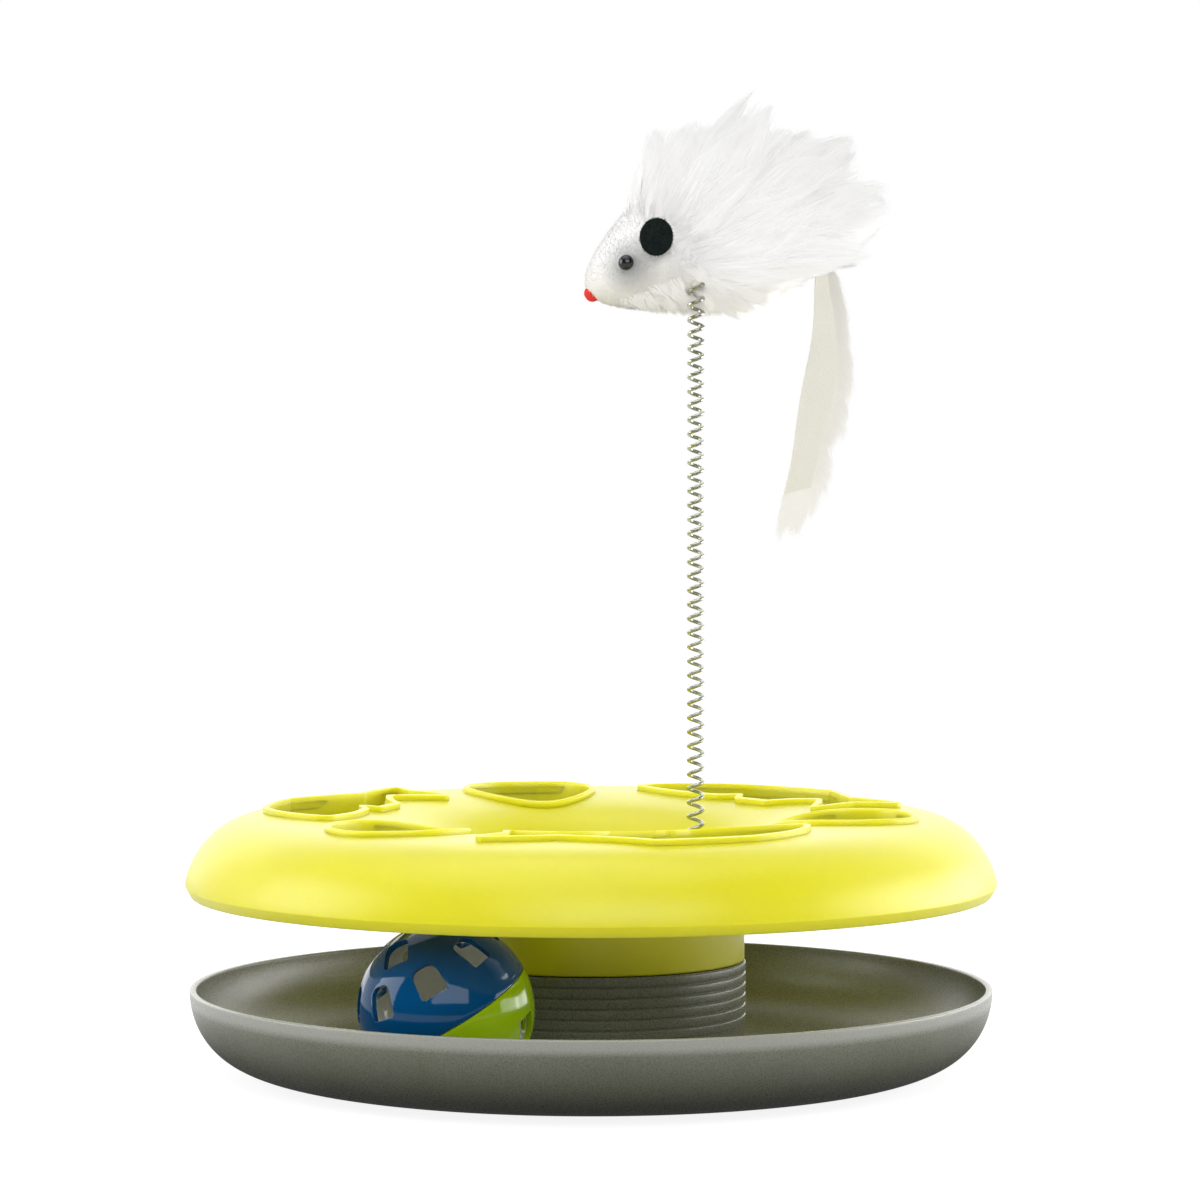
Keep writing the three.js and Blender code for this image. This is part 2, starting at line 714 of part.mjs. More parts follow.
const latticeBall = group(halves, bell);
latticeBall.position.set(BALL_TRACK_R, 0, FLOOR_Z + FIT + BALL_R).applyAxisAngle(UP, rad(BALL_ANGLE));

const toy = group(tray, cover, piece("spring", coilSpring(), STEEL), mouse, latticeBall);
toy.name = "cat_ball_track_toy";

export default toy;
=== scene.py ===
# Cat ball track toy: a grey tray and a yellow cover with a lattice ball between them,
# and a white fur mouse that stands on a coil spring in the cover's dish.
import math

import bpy
import numpy as np
from mathutils import Matrix, Vector


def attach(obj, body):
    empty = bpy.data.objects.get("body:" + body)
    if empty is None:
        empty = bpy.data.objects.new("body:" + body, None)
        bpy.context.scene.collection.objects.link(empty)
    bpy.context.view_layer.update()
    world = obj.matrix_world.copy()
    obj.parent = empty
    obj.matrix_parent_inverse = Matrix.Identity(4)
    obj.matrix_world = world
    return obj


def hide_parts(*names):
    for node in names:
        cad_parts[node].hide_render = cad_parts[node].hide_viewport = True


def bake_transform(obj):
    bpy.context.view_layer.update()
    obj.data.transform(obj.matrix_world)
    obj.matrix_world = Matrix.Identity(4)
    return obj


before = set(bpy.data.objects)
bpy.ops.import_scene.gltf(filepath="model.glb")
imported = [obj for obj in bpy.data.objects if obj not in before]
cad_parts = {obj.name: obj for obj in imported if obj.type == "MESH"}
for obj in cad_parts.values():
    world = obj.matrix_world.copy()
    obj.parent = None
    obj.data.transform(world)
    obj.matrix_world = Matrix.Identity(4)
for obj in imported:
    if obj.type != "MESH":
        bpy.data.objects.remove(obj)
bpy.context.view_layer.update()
scene = bpy.context.scene
scene.view_settings.view_transform = "Standard"

MM = 0.001
TURN = 2 * math.pi

# Sizes in millimetres, as in the part's source, apart from the finer ridges, the wire as it shows and the short peg
TRAY_R, TRAY_FLAT_R, TRAY_H, TRAY_WALL, BOWL_CURVE = 118.8, 76, 25.2, 2, 3.5
FOOT_R, FOOT_RING_R, FOOT_PROUD, FOOT_WELL = 6, 64, 0.8, 1
HUB_R, HUB_H, HUB_WALL, HUB_FLARE_R, HUB_FOOT_T, SPIGOT_H = 45.5, 31, 2.2, 9, 1.2, 8
RIDGES, RIDGE_PITCH, RIDGE_H = 6, 3.1, 0.4
COVER_R, COVER_WALL, CREST_R, MOUTH_GAP = 120, 2.2, 86, 27.9
LIP_H, LIP_DRAFT, DOME_H, DOME_CURVE, DOME_SHOULDER = 3, 1.6, 20.5, 3.5, 1.45
DISH_DEPTH, DISH_WALL_H, DISH_FILLET_R = 27, 7.5, 5
CUTOUT_PAIRS, FISH_ANGLE, FISH_R, FISH_L, FISH_W = 3, -75.5, 81.5, 97, 30
PORT_RING_R, PORT_R = 77.4, 18.8
BEAD_W, BEAD_H, SKIRT, RIM_LAP = 1.8, 1.6, 3.5, 0.06
BALL_R, BALL_WALL, BALL_ANGLE = 25, 1.8, -119.8
BALL_TRACK_R = (HUB_R + TRAY_R) / 2
SEAM_NORMAL = Vector((-0.49, -0.12, 0.863)).normalized()
WINDOW_W, WINDOW_H = 8, 9.5
WINDOW_ROWS = ((35, 8, 6.5), (68, 4, 72))
LIME_HALF_TURN = 23.5
BELL_R, BELL_WALL, BELL_SLOT, PELLET_R = 9, 0.6, (13, 1.6), 2.6
WIRE_D, WIRE_SHOWN, SPRING_D, SPRING_PITCH, SPRING_X = 1, 1.25, 5.4, 4.2, 31
LOWER_TURNS, UPPER_TURNS = 20, 23
PLUG_R, PLUG_T, STEM_R, STEM_L, PEG_L, PEG_SHOWN = 7, 1.6, 3.7, 6, 13, 3
FIT = 0.3

FLOOR_Z = FOOT_PROUD + TRAY_WALL
RIM_Z = FOOT_PROUD + TRAY_H
SHOULDER_Z = FLOOR_Z + HUB_H
LIP_Z = RIM_Z + MOUTH_GAP
EDGE_Z = LIP_Z + LIP_H
CREST_Z = EDGE_Z + DOME_H
DISH_Z = CREST_Z - DISH_DEPTH
DISH_R = HUB_R - COVER_WALL
PLUG_Z = DISH_Z + FIT + PLUG_T
SPRING_Z = PLUG_Z + FIT
SPRING_TOP_Z = SPRING_Z + (LOWER_TURNS + UPPER_TURNS) * SPRING_PITCH + 2 * WIRE_D
COIL_R = (SPRING_D - WIRE_D) / 2
BALL_Z = FLOOR_Z + FIT + BALL_R
MOUSE_Y = 12
# How far a cutting tool reaches beyond what it cuts
CUT_THROUGH = 12


# Points of lines and outlines


def arc(cx, cy, radius, first, last, steps):
    angles = np.radians(np.linspace(first, last, steps + 1))
    return [(cx + radius * math.cos(a), cy + radius * math.sin(a)) for a in angles]


def bezier(points, steps):
    """Points of a quadratic or cubic curve, after its first one."""
    made = []
    for t in np.linspace(0, 1, steps + 1)[1:]:
        run = [np.array(p, float) for p in points]
        while len(run) > 1:
            run = [a + (b - a) * t for a, b in zip(run, run[1:])]
        made.append(tuple(run[0]))
    return made


def offset(points, distance, closed=False):
    """Each point moved to the right of the way that the line runs."""
    p = np.array(points, float)
    before = p - np.roll(p, 1, 0)
    after = np.roll(p, -1, 0) - p
    if not closed:
        before[0], after[-1] = after[0], before[-1]
    normals = []
    for run in (before, after):
        side = np.stack([run[:, 1], -run[:, 0]], 1)
        normals.append(side / np.linalg.norm(side, axis=1, keepdims=True))
    middle = normals[0] + normals[1]
    middle /= np.linalg.norm(middle, axis=1, keepdims=True)
    reach = distance / np.sum(middle * normals[0], 1, keepdims=True)
    return [tuple(q) for q in p + middle * reach]


def softened(points, convex, hollow=None, steps=5, closed=False, least=20):
    """Corners of a line rounded off: convex is the radius at left turns and hollow at right turns."""
    hollow = convex if hollow is None else hollow
    made = []
    count = len(points)
    for i, here in enumerate(points):
        inner = closed or 0 < i < count - 1
        p = Vector(here)
        a = Vector(points[i - 1]) - p
        b = Vector(points[(i + 1) % count]) - p
        if not inner or a.length < 1e-9 or b.length < 1e-9:
            made.append(here)
            continue
        bend = math.pi - a.angle(b)
        if math.degrees(bend) < least:
            made.append(here)
            continue
        radius = convex if (-a).cross(b) > 0 else hollow
        reach = min(radius * math.tan(bend / 2), 0.48 * a.length, 0.48 * b.length)
        first, last = p + a.normalized() * reach, p + b.normalized() * reach
        made += [tuple(first), *bezier([first, p, last], steps)]
    return made


# Modelling: a primitive or a drawn line, shaped in edit mode


def begin(kind, **size):
    """A new primitive, alone in the selection."""
    bpy.ops.object.select_all(action="DESELECT")
    getattr(bpy.ops.mesh, f"primitive_{kind}_add")(**size)
    return bpy.context.object


def pick(obj):
    """Selects one object alone and makes it the active one."""
    bpy.ops.object.select_all(action="DESELECT")
    bpy.context.view_layer.objects.active = obj
    obj.select_set(True)


def editing(obj):
    """Into edit mode, with the whole mesh selected."""
    pick(obj)
    bpy.ops.object.mode_set(mode="EDIT")
    bpy.ops.mesh.select_all(action="SELECT")


def face_outwards():
    """All faces of the mesh in edit mode turned outwards."""
    bpy.ops.mesh.select_all(action="SELECT")
    bpy.ops.mesh.normals_make_consistent(inside=False)


def put_down(obj):
    """The object's place and turn go into its mesh."""
    pick(obj)
    bpy.ops.object.transform_apply(location=True, rotation=True, scale=True)
    return obj


def settle(obj):
    """Back from edit mode to object mode."""
    bpy.ops.object.mode_set(mode="OBJECT")
    return put_down(obj)


def drawn(points, closed=False):
    """A line drawn by extruding one corner from point to point, left in edit mode."""
    spots = [Vector(p) * MM for p in points]
    if closed:
        spots.append(spots[0])
    obj = begin("plane", size=MM, location=spots[0])
    bpy.ops.object.mode_set(mode="EDIT")
    bpy.ops.mesh.merge(type="CENTER")
    for here, there in zip(spots, spots[1:]):
        bpy.ops.mesh.extrude_region_move(TRANSFORM_OT_translate={"value": there - here})
    bpy.ops.mesh.select_all(action="SELECT")
    if closed:
        bpy.ops.mesh.remove_doubles(threshold=1e-6)
    return obj


def turned(profile, steps, closed=False):
    """A profile of (radius, height) points spun about the upright axis."""
    obj = drawn([(r, 0, z) for r, z in profile], closed)
    bpy.ops.mesh.spin(steps=steps, angle=TURN, center=(0, 0, 0), axis=(0, 0, 1))
    bpy.ops.mesh.select_all(action="SELECT")
    bpy.ops.mesh.remove_doubles(threshold=2e-6)
    face_outwards()
    return settle(obj)


def prism(outline, way):
    """A closed outline filled and extruded along one way."""
    obj = drawn(outline, closed=True)
    bpy.ops.mesh.edge_face_add()
    bpy.ops.mesh.extrude_region_move(TRANSFORM_OT_translate={"value": Vector(way) * MM})
    face_outwards()
    return settle(obj)


def modify(obj, kind, **settings):
    bpy.context.view_layer.objects.active = obj
    modifier = obj.modifiers.new(kind.lower(), kind)
    for name, value in settings.items():
        setattr(modifier, name, value)
    bpy.ops.object.modifier_apply(modifier=modifier.name)
    return obj


def eased(obj, width, segments, angle):
    """Edges sharper than an angle rounded off."""
    return modify(obj, "BEVEL", width=width * MM, segments=segments, limit_method="ANGLE",
                  angle_limit=math.radians(angle))


def joined(objects):
    bpy.ops.object.select_all(action="DESELECT")
    for obj in objects:
        obj.select_set(True)
    bpy.context.view_layer.objects.active = objects[0]
    bpy.ops.object.join()
    return objects[0]


def copies(obj, places):
    """The shape repeated at each place, each copy with its own mesh, and joined."""
    made = []
    for place in places:
        other = obj.copy()
        other.data = obj.data.copy()
        scene.collection.objects.link(other)
        other.matrix_world = place
        made.append(other)
    bpy.data.objects.remove(obj)
    return put_down(joined(made))


def cut_away(obj, tool):
    modify(obj, "BOOLEAN", operation="DIFFERENCE", solver="EXACT", object=tool)
    bpy.data.objects.remove(tool)
    return obj


def facing(spot, way):
    """Takes a shape to a spot in millimetres, with its Z along a way."""
    return Matrix.Translation(Vector(spot) * MM) @ Vector(way).to_track_quat("Z", "Y").to_matrix().to_4x4()


def finished(obj, name, material, smooth=35):
    """A named piece with its material; edges under the smooth angle, in degrees, are shaded round."""
    obj.name = obj.data.name = name
    obj.data.materials.clear()
    obj.data.materials.append(material)
    pick(obj)
    if smooth:
        bpy.ops.object.shade_smooth_by_angle(angle=math.radians(smooth))
    return obj


def placed(obj, name, material, slot, body, *nodes, smooth=35, at=None):
    """A finished piece, taken to its place, that rides on a body and stands for CAD nodes."""
    if at is not None:
        obj.matrix_world = at if isinstance(at, Matrix) else Matrix.Translation(at)
        put_down(obj)
    finished(obj, name, material, smooth)
    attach(obj, body)
    if nodes:
        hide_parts(*nodes)
    return obj


# Materials


def new_group(name, outputs, **inputs):
    """A node group; an input is a colour or a number by its first value, and an output by its name."""
    group = bpy.data.node_groups.new(name, "ShaderNodeTree")
    ends = [(label.replace("_", " "), "INPUT", value, isinstance(value, tuple)) for label, value in inputs.items()]
    ends += [(label, "OUTPUT", None, label == "Colour") for label in outputs]
    for label, end, value, colour in ends:
        kind = "NodeSocketColor" if colour else "NodeSocketFloat"
        socket = group.interface.new_socket(label, in_out=end, socket_type=kind)
        if value is not None:
            socket.default_value = value
    return group


def node(tree, kind, given=None, **settings):
    """A shader node; given has a value, or a socket to link from, for each input."""
    made = tree.nodes.new(kind)
    for name, value in settings.items():
        setattr(made, name, value)
    for label, value in (given or {}).items():
        if isinstance(value, bpy.types.NodeSocket):
            tree.links.new(value, made.inputs[label])
        else:
            made.inputs[label].default_value = value
    return made


def number(tree, operation, *given):
    return node(tree, "ShaderNodeMath", dict(enumerate(given)), operation=operation).outputs[0]


def vector(tree, operation, *given, result=0):
    return node(tree, "ShaderNodeVectorMath", dict(enumerate(given)), operation=operation).outputs[result]


def ramp(tree, value, low, high, first=0.0, last=1.0):
    """Runs from first to last while the value runs from low to high."""
    given = {"Value": value, "From Min": low, "From Max": high, "To Min": first, "To Max": last}
    return node(tree, "ShaderNodeMapRange", given).outputs["Result"]


def mixed(tree, share, under, over, how="MIX"):
    """One colour over another, by a share."""
    given = {"Factor": share, 6: under, 7: over}
    return node(tree, "ShaderNodeMix", given, data_type="RGBA", blend_type=how).outputs[2]


def noise(tree, place, size, **given):
    return node(tree, "ShaderNodeTexNoise", {"Vector": place, "Scale": size, **given}).outputs["Fac"]


def object_place(tree):
    return node(tree, "ShaderNodeTexCoord").outputs["Object"]


def grain_group():
    """Moulded plastic: a cloudy tone, a fine grain, and gloss that follows them."""
    tree = new_group("moulded_grain", ("Colour", "Roughness", "Height"), Colour=(1, 1, 1, 1), Shade=(0.8, 0.8, 0.8, 1),
                     Cloud_size=40.0, Grain_size=2500.0, Gloss=0.4, Gloss_spread=0.12, Speckle=0.05)
    given = node(tree, "NodeGroupInput").outputs
    place = object_place(tree)
    cloud = noise(tree, place, given["Cloud size"], Detail=4)
    grain = noise(tree, place, given["Grain size"], Detail=3, Roughness=0.65)
    tone = mixed(tree, ramp(tree, cloud, 0.35, 0.7), given["Colour"], given["Shade"])
    centred = number(tree, "SUBTRACT", grain, 0.5)
    gloss = number(tree, "MULTIPLY_ADD", centred, given["Gloss spread"], given["Gloss"])
    speckle = number(tree, "MULTIPLY_ADD", centred, given["Speckle"], 1.0)
    speckled = node(tree, "ShaderNodeVectorMath", {0: tone, "Scale": speckle}, operation="SCALE").outputs[0]
    node(tree, "NodeGroupOutput", {"Colour": speckled, "Roughness": gloss, "Height": grain})
    return tree


def fibre_group():
    """Fur, felt and pelt: a soft patchy tone with a tint low on the mouse; darker at each hair's root and on the bare
    skin, paler towards the tip, a painted shade deep in the fur.
    """
    tree = new_group("fibre", ("Colour", "Height"), Root=(0.8, 0.8, 0.8, 1), Tip=(1, 1, 1, 1),
                     Low_tint=(0.9, 0.85, 0.7, 1), Patch_size=90.0, Fibre_size=1800.0)
    given = node(tree, "NodeGroupInput").outputs
    place = object_place(tree)
    along = node(tree, "ShaderNodeAttribute", attribute_name="along").outputs["Fac"]
    patch = noise(tree, place, given["Patch size"])
    fine = noise(tree, place, given["Fibre size"], Detail=4)
    # Painted shade: the root colour, on the roots and the bare skin, stands for shade deep in the fur
    to_tip = number(tree, "MULTIPLY_ADD", patch, 0.5, along)
    hair = mixed(tree, to_tip, given["Root"], given["Tip"])
    height = node(tree, "ShaderNodeSeparateXYZ", {"Vector": place}).outputs["Z"]
    low = ramp(tree, height, *LOW_TINT_Z, 0.0, 0.6)
    node(tree, "NodeGroupOutput", {"Colour": mixed(tree, low, hair, given["Low tint"]), "Height": fine})
    return tree


# Heights in metres where the tint low on the mouse begins and where it is full
LOW_TINT_Z = 0.242, 0.222
# A darker grey beside each eye, and painted shade round the root of the tail, with where their tints fade, in metres
EYE_GREY, EYE_GREY_FADE = (0.0106, 0.0135, 0.2388), (0.0022, 0.0105)
RUMP_SHADE, RUMP_SHADE_FADE = (0.072, MOUSE_Y * MM, 0.243), (0.006, 0.017)
# How deep below the rim's corner the painted highlight along its top edge fades
RIM_HIGHLIGHT_DEPTHS = 0.0014, 0.0007
# Distances from the ball's centre where the painted light on its inner faces ends
PAINTED_LIGHT_INSIDE_FADE = 0.02328, 0.02345

GRAIN = grain_group()
FIBRE = fibre_group()


def finish_of(name, group, values, bump, **sockets):
    """A material whose colour, gloss and bump come from a group, and whose constants sit on the shader."""
    made = bpy.data.materials.new(name)
    made.use_nodes = True
    tree = made.node_tree
    link = tree.links.new
    shader = tree.nodes["Principled BSDF"].inputs
    values = {label: (*v, 1) if isinstance(v, tuple) else v for label, v in values.items()}
    look = node(tree, "ShaderNodeGroup", values, node_tree=group).outputs
    link(look["Colour"], shader["Base Color"])
    if "Roughness" in look:
        link(look["Roughness"], shader["Roughness"])
    if bump:
        strength, distance = bump
        relief = node(tree, "ShaderNodeBump", {"Strength": strength, "Distance": distance, "Height": look["Height"]})
        link(relief.outputs["Normal"], shader["Normal"])
    for label, value in sockets.items():
        shader[label.replace("_", " ")].default_value = value
    return made


def plastic(name, colour, shade, gloss, spread=0.12, cloud=40.0, grain=2500.0, speckle=0.1, bump=(0.1, 0.0002),
            **sockets):
    values = {"Colour": colour, "Shade": shade, "Gloss": gloss, "Gloss spread": spread}
    values |= {"Cloud size": cloud, "Grain size": grain, "Speckle": speckle}
    return finish_of(name, GRAIN, values, bump, **sockets)


def fibre(name, root, tip, low=None, patch=90.0, size=1800.0, bump=None, **sockets):
    values = {"Root": root, "Tip": tip, "Low tint": low or tip, "Patch size": patch, "Fibre size": size}
    return finish_of(name, FIBRE, values, bump, **sockets)


def tinted_near(material, spot, near, far, most, tint, both_sides=False):
    """Another colour near a spot, or near the same spot on both sides of the mouse."""
    tree = material.node_tree
    base = tree.nodes["Principled BSDF"].inputs["Base Color"]
    place = object_place(tree)
    if both_sides:
        place = vector(tree, "ABSOLUTE", vector(tree, "SUBTRACT", place, (0, MOUSE_Y * MM, 0)))
    away = vector(tree, "DISTANCE", place, spot, result="Value")
    share = ramp(tree, away, near, far, most, 0.0)
    tree.links.new(mixed(tree, share, base.links[0].from_socket, (*tint, 1)), base)
    return material


def grey_round_eyes(material):
    """A darker grey in the nap round each eye."""
    return tinted_near(material, EYE_GREY, *EYE_GREY_FADE, 0.62, (0.2, 0.21, 0.22), both_sides=True)


def painted_rump_shade(material, most):
    """Painted shade round the root of the tail, where the fur parts: the skin and hair there are tinted darker, for
    the shade between the hairs.
    """
    return tinted_near(material, RUMP_SHADE, *RUMP_SHADE_FADE, most, (0.5, 0.495, 0.48))


def painted_light_inside_ball(material):
    """The inner faces of the ball are painted a pale grey, which stands for light seen through its windows; the
    windows' edges keep the colour of the shell.
    """
    return tinted_near(material, ball_centre(BALL_Z), *PAINTED_LIGHT_INSIDE_FADE, 1.0, (0.88, 0.9, 0.85))


def painted_rim_highlight_and_bounce(material):
    """Painted light on the tray: a highlight that makes the rim's top edge a little paler, and a painted yellow bounce
    that makes its inside a little more olive.
    """
    tree = material.node_tree
    base = tree.nodes["Principled BSDF"].inputs["Base Color"]
    place = object_place(tree)
    reach = math.hypot(TRAY_R, RIM_Z) * MM
    low, high = (reach - depth for depth in RIM_HIGHLIGHT_DEPTHS)
    # Painted highlight: paler towards the rim's top corner
    edge = ramp(tree, vector(tree, "LENGTH", place, result="Value"), low, high, 0.0, 0.7)
    normal = node(tree, "ShaderNodeNewGeometry").outputs["True Normal"]
    outward = vector(tree, "DOT_PRODUCT", vector(tree, "MULTIPLY", place, (1, 1, 0)), normal, result="Value")
    inside = ramp(tree, outward, 0.004, -0.004)
    # Painted bounce from the yellow cover, on the faces that look inwards
    painted_bounce = mixed(tree, inside, base.links[0].from_socket, (1.08, 1.06, 0.55, 1), "MULTIPLY")
    tree.links.new(mixed(tree, edge, painted_bounce, (0.36, 0.365, 0.33, 1)), base)
    return material


def ball_centre(z):
    a = math.radians(BALL_ANGLE)
    return Vector((BALL_TRACK_R * math.cos(a), BALL_TRACK_R * math.sin(a), z)) * MM


yellow = plastic("yellow_plastic", (0.68, 0.637, 0.012), (0.65, 0.608, 0.01), 0.36, cloud=25.0, bump=(0.06, 0.0002),
                 Specular_IOR_Level=0.5, Subsurface_Weight=0.9, Subsurface_Scale=0.006,
                 Subsurface_Radius=(1.0, 0.9, 0.05))
# The tray's plastic carries a painted highlight on its rim and a painted yellow bounce inside
grey = painted_rim_highlight_and_bounce(plastic("grey_plastic", (0.15, 0.157, 0.118), (0.132, 0.138, 0.1), 0.28, grain=2400.0, speckle=1.3,
                        bump=(0.25, 0.0002), Specular_IOR_Level=0.55))
# The ball's halves carry pale painted light on their inner faces
blue = painted_light_inside_ball(plastic("blue_plastic", (0.0, 0.058, 0.165), (0.0, 0.052, 0.145), 0.06, 0.04, bump=(0.03, 0.0002),
                           Specular_IOR_Level=0.3))
lime = painted_light_inside_ball(plastic("lime_plastic", (0.29, 0.46, 0.002), (0.27, 0.43, 0.002), 0.1, 0.05, bump=(0.03, 0.0002),
                           Specular_IOR_Level=0.35))
white_plastic = plastic("white_plastic", (0.74, 0.72, 0.62), (0.7, 0.68, 0.58), 0.45)
rubber = plastic("black_rubber", (0.014, 0.014, 0.014), (0.02, 0.02, 0.02), 0.8, bump=(0.4, 0.0002))
steel = plastic("spring_steel", (0.52, 0.535, 0.455), (0.38, 0.392, 0.325), 0.25, 0.1, cloud=300.0, bump=None,
                Metallic=1.0)
brass = plastic("bell_brass", (0.6, 0.38, 0.08), (0.5, 0.3, 0.06), 0.25, 0.1, bump=None, Metallic=1.0)
black_bead = plastic("black_bead", (0.006, 0.007, 0.008), (0.01, 0.01, 0.012), 0.06, 0.03, bump=None)
# The white fur and nap carry painted shade round the root of the tail
fur_white = painted_rump_shade(fibre("white_fur", (0.91, 0.905, 0.895), (0.95, 0.945, 0.935), (0.84, 0.81, 0.71),
                              Roughness=0.75), 0.6)
nap_white = painted_rump_shade(fibre("white_nap", (0.86, 0.855, 0.84), (0.9, 0.895, 0.88), (0.82, 0.79, 0.68),
                              Roughness=0.85), 0.9)
face_skin = grey_round_eyes(fibre("face_skin", (0.74, 0.735, 0.72), (0.84, 0.83, 0.82), (0.84, 0.81, 0.72), patch=500.0,
                          Roughness=0.85))
fur_cream = fibre("cream_fur", (0.8, 0.78, 0.7), (0.87, 0.855, 0.8), Roughness=0.75)
face_nap = grey_round_eyes(fibre("face_nap_white", (0.66, 0.655, 0.645), (0.84, 0.83, 0.82), (0.84, 0.81, 0.72), patch=500.0,
                         Roughness=0.85))
felt_black = fibre("black_felt", (0.001, 0.003, 0.003), (0.03, 0.042, 0.038), patch=900.0, bump=(0.8, 0.0006),
                   Roughness=1.0, Specular_IOR_Level=0.1)
felt_red = fibre("red_felt", (0.6, 0.02, 0.014), (0.8, 0.04, 0.03), bump=(0.6, 0.0004), Roughness=0.9)
pelt = fibre("cream_pelt", (0.66, 0.64, 0.565), (0.76, 0.745, 0.675), patch=160.0, bump=(0.5, 0.0005), Roughness=0.9)


# Tray, post and feet


def quarter(inner, outer, start, height, curve, shoulder, steps):
    """A rounded quarter, from its full height at the inner radius to its start at the outer one."""
    made = []
    for i in range(steps + 1):
        s = math.sin(i / steps * math.pi / 2)
        made.append((inner + (outer - inner) * s, start + height * max(0, 1 - s**curve) ** (1 / shoulder)))
    return made


def make_tray():
    hole = HUB_R - HUB_WALL + FIT
    outside = quarter(TRAY_FLAT_R, TRAY_R, RIM_Z, -TRAY_H, BOWL_CURVE, 2, 44)
    inside = offset(outside[:-1], -TRAY_WALL)
    ease = 0.45
    low, high = ([p for p in line if p[1] < RIM_Z - ease] for line in (outside, inside))
    rim = arc(TRAY_R - ease, RIM_Z - ease, ease, 0, 90, 4)
    rim += arc(TRAY_R - TRAY_WALL + ease, RIM_Z - ease, ease, 90, 180, 4)
    bowl = turned([(hole, FOOT_PROUD), *low, *rim, *reversed(high), (hole, FLOOR_Z)], 240, closed=True)
    well = begin("cylinder", vertices=64, radius=(FOOT_R + FIT) * MM, depth=2 * FOOT_WELL * MM)
    wells = copies(well, [Matrix.Translation(Vector((x, y, FOOT_PROUD)) * MM) for x, y in foot_spots()])
    placed(cut_away(bowl, wells), "tray_bowl", grey, "grey_plastic", "base", "base_tray")


def foot_spots():
    angles = [(i + 0.5) / 4 * TURN for i in range(4)]
    return [(FOOT_RING_R * math.cos(a), FOOT_RING_R * math.sin(a)) for a in angles]


def make_feet():
    top = FOOT_PROUD + FOOT_WELL - FIT
    for i, (x, y) in enumerate(foot_spots()):
        edge = softened([(0, 0), (FOOT_R, 0), (FOOT_R, top), (0, top)], 0.35)
        foot = turned(edge, 48)
        placed(foot, f"rubber_foot_{i + 1}", rubber, "black_rubber", "base", f"foot_{i + 1}",
               at=Vector((x, y, 0)) * MM)


def make_hub():
    seat = FLOOR_Z + FIT
    neck = HUB_R - HUB_WALL
    bore = neck - HUB_WALL
    top = SHOULDER_Z + SPIGOT_H
    flare = arc(HUB_R + HUB_FLARE_R, seat + HUB_FOOT_T + HUB_FLARE_R, HUB_FLARE_R, 270, 180, 14)
    half, slant, proud = RIDGE_PITCH * 0.43, 0.2, HUB_R + RIDGE_H
    ridges = []
    for i in range(RIDGES, 0, -1):
        z = SHOULDER_Z - (i - 0.5) * RIDGE_PITCH
        band = [(HUB_R, z - half), (proud, z - half + slant), (proud, z + half - slant), (HUB_R, z + half)]
        ridges += softened(band, 0.25, steps=3)
    foot = [(bore, FOOT_PROUD), (neck, FOOT_PROUD), (neck, seat), (HUB_R + HUB_FLARE_R, seat)]
    head = softened([(HUB_R, SHOULDER_Z), (neck - FIT, SHOULDER_Z), (neck - FIT, top), (0, top)], 0.6)
    inner = [(0, top - HUB_WALL), (bore, top - HUB_WALL)]
    hub = turned([*inner, *foot, *flare, *ridges, *head], 192)
    placed(hub, "ribbed_post", grey, "grey_plastic", "base", "hub_post")


# Cover


def dome_line():
    dome = quarter(CREST_R, COVER_R, EDGE_Z, DOME_H, DOME_CURVE, DOME_SHOULDER, 34)
    return [*dome, (COVER_R - LIP_DRAFT, LIP_Z)]


def funnel_line():
    wall_top = (DISH_R, DISH_Z + DISH_WALL_H)
    over_wall = (DISH_R, wall_top[1] + (CREST_Z - wall_top[1]) * 0.8)
    beside_crest = (DISH_R + (CREST_R - DISH_R) * 0.35, CREST_Z)
    return [wall_top, *bezier([wall_top, over_wall, beside_crest, (CREST_R, CREST_Z)], 26)]


COVER_LINE = [*funnel_line()[:-1], *dome_line()]
COVER_RADII, COVER_HEIGHTS = np.array(COVER_LINE[:-1]).T


def cover_height(x, y):
    return float(np.interp(math.hypot(x, y), COVER_RADII, COVER_HEIGHTS))


def fish_outline():
    """A fish from above: x along it to its nose, y outwards from the track's axis."""
    x, y = FISH_L / 2, FISH_W / 2
    nose = (x, -0.05 * y)
    points = [nose, *bezier([nose, (0.8 * x, 0.66 * y), (0.4 * x, 0.92 * y)], 10), (-0.12 * x, y)]
    points += [(-0.26 * x, 0.7 * y)]
    points += bezier([points[-1], (-0.45 * x, 0.36 * y), (-0.6 * x, 0.26 * y)], 6)
    points += [(-x, 0.8 * y), (-0.9 * x, 0), (-x, -0.85 * y), (-0.6 * x, -0.3 * y)]
    points += bezier([points[-1], (-0.45 * x, -0.5 * y), (-0.28 * x, -y)], 6)
    points += [(0.04 * x, -y), (0.12 * x, -0.66 * y), (0.3 * x, -0.84 * y)]
    return points + bezier([points[-1], (0.8 * x, -0.8 * y), nose], 10)[:-1]


def bent_fish(angle):
    """The fish bent along a circle about the track's axis, its corners rounded off."""
    outline = evenly(softened(fish_outline(), 1.2, 2.6, closed=True), 2.5)
    bent = [(FISH_R + w, math.radians(angle) + u / FISH_R) for u, w in reversed(outline)]
    return [(r * math.cos(a), r * math.sin(a)) for r, a in bent]


def round_port(angle):
    a = math.radians(angle)
    return arc(PORT_RING_R * math.cos(a), PORT_RING_R * math.sin(a), PORT_R, 0, 360, 60)[:-1]


def evenly(points, step):
    """Long runs of a closed outline cut into shorter ones."""
    made = []
    for p, q in zip(points, points[1:] + points[:1]):
        cuts = max(1, round(math.dist(p, q) / step))
        made += [tuple(np.array(p) + (np.array(q) - np.array(p)) * k / cuts) for k in range(cuts)]
    return made


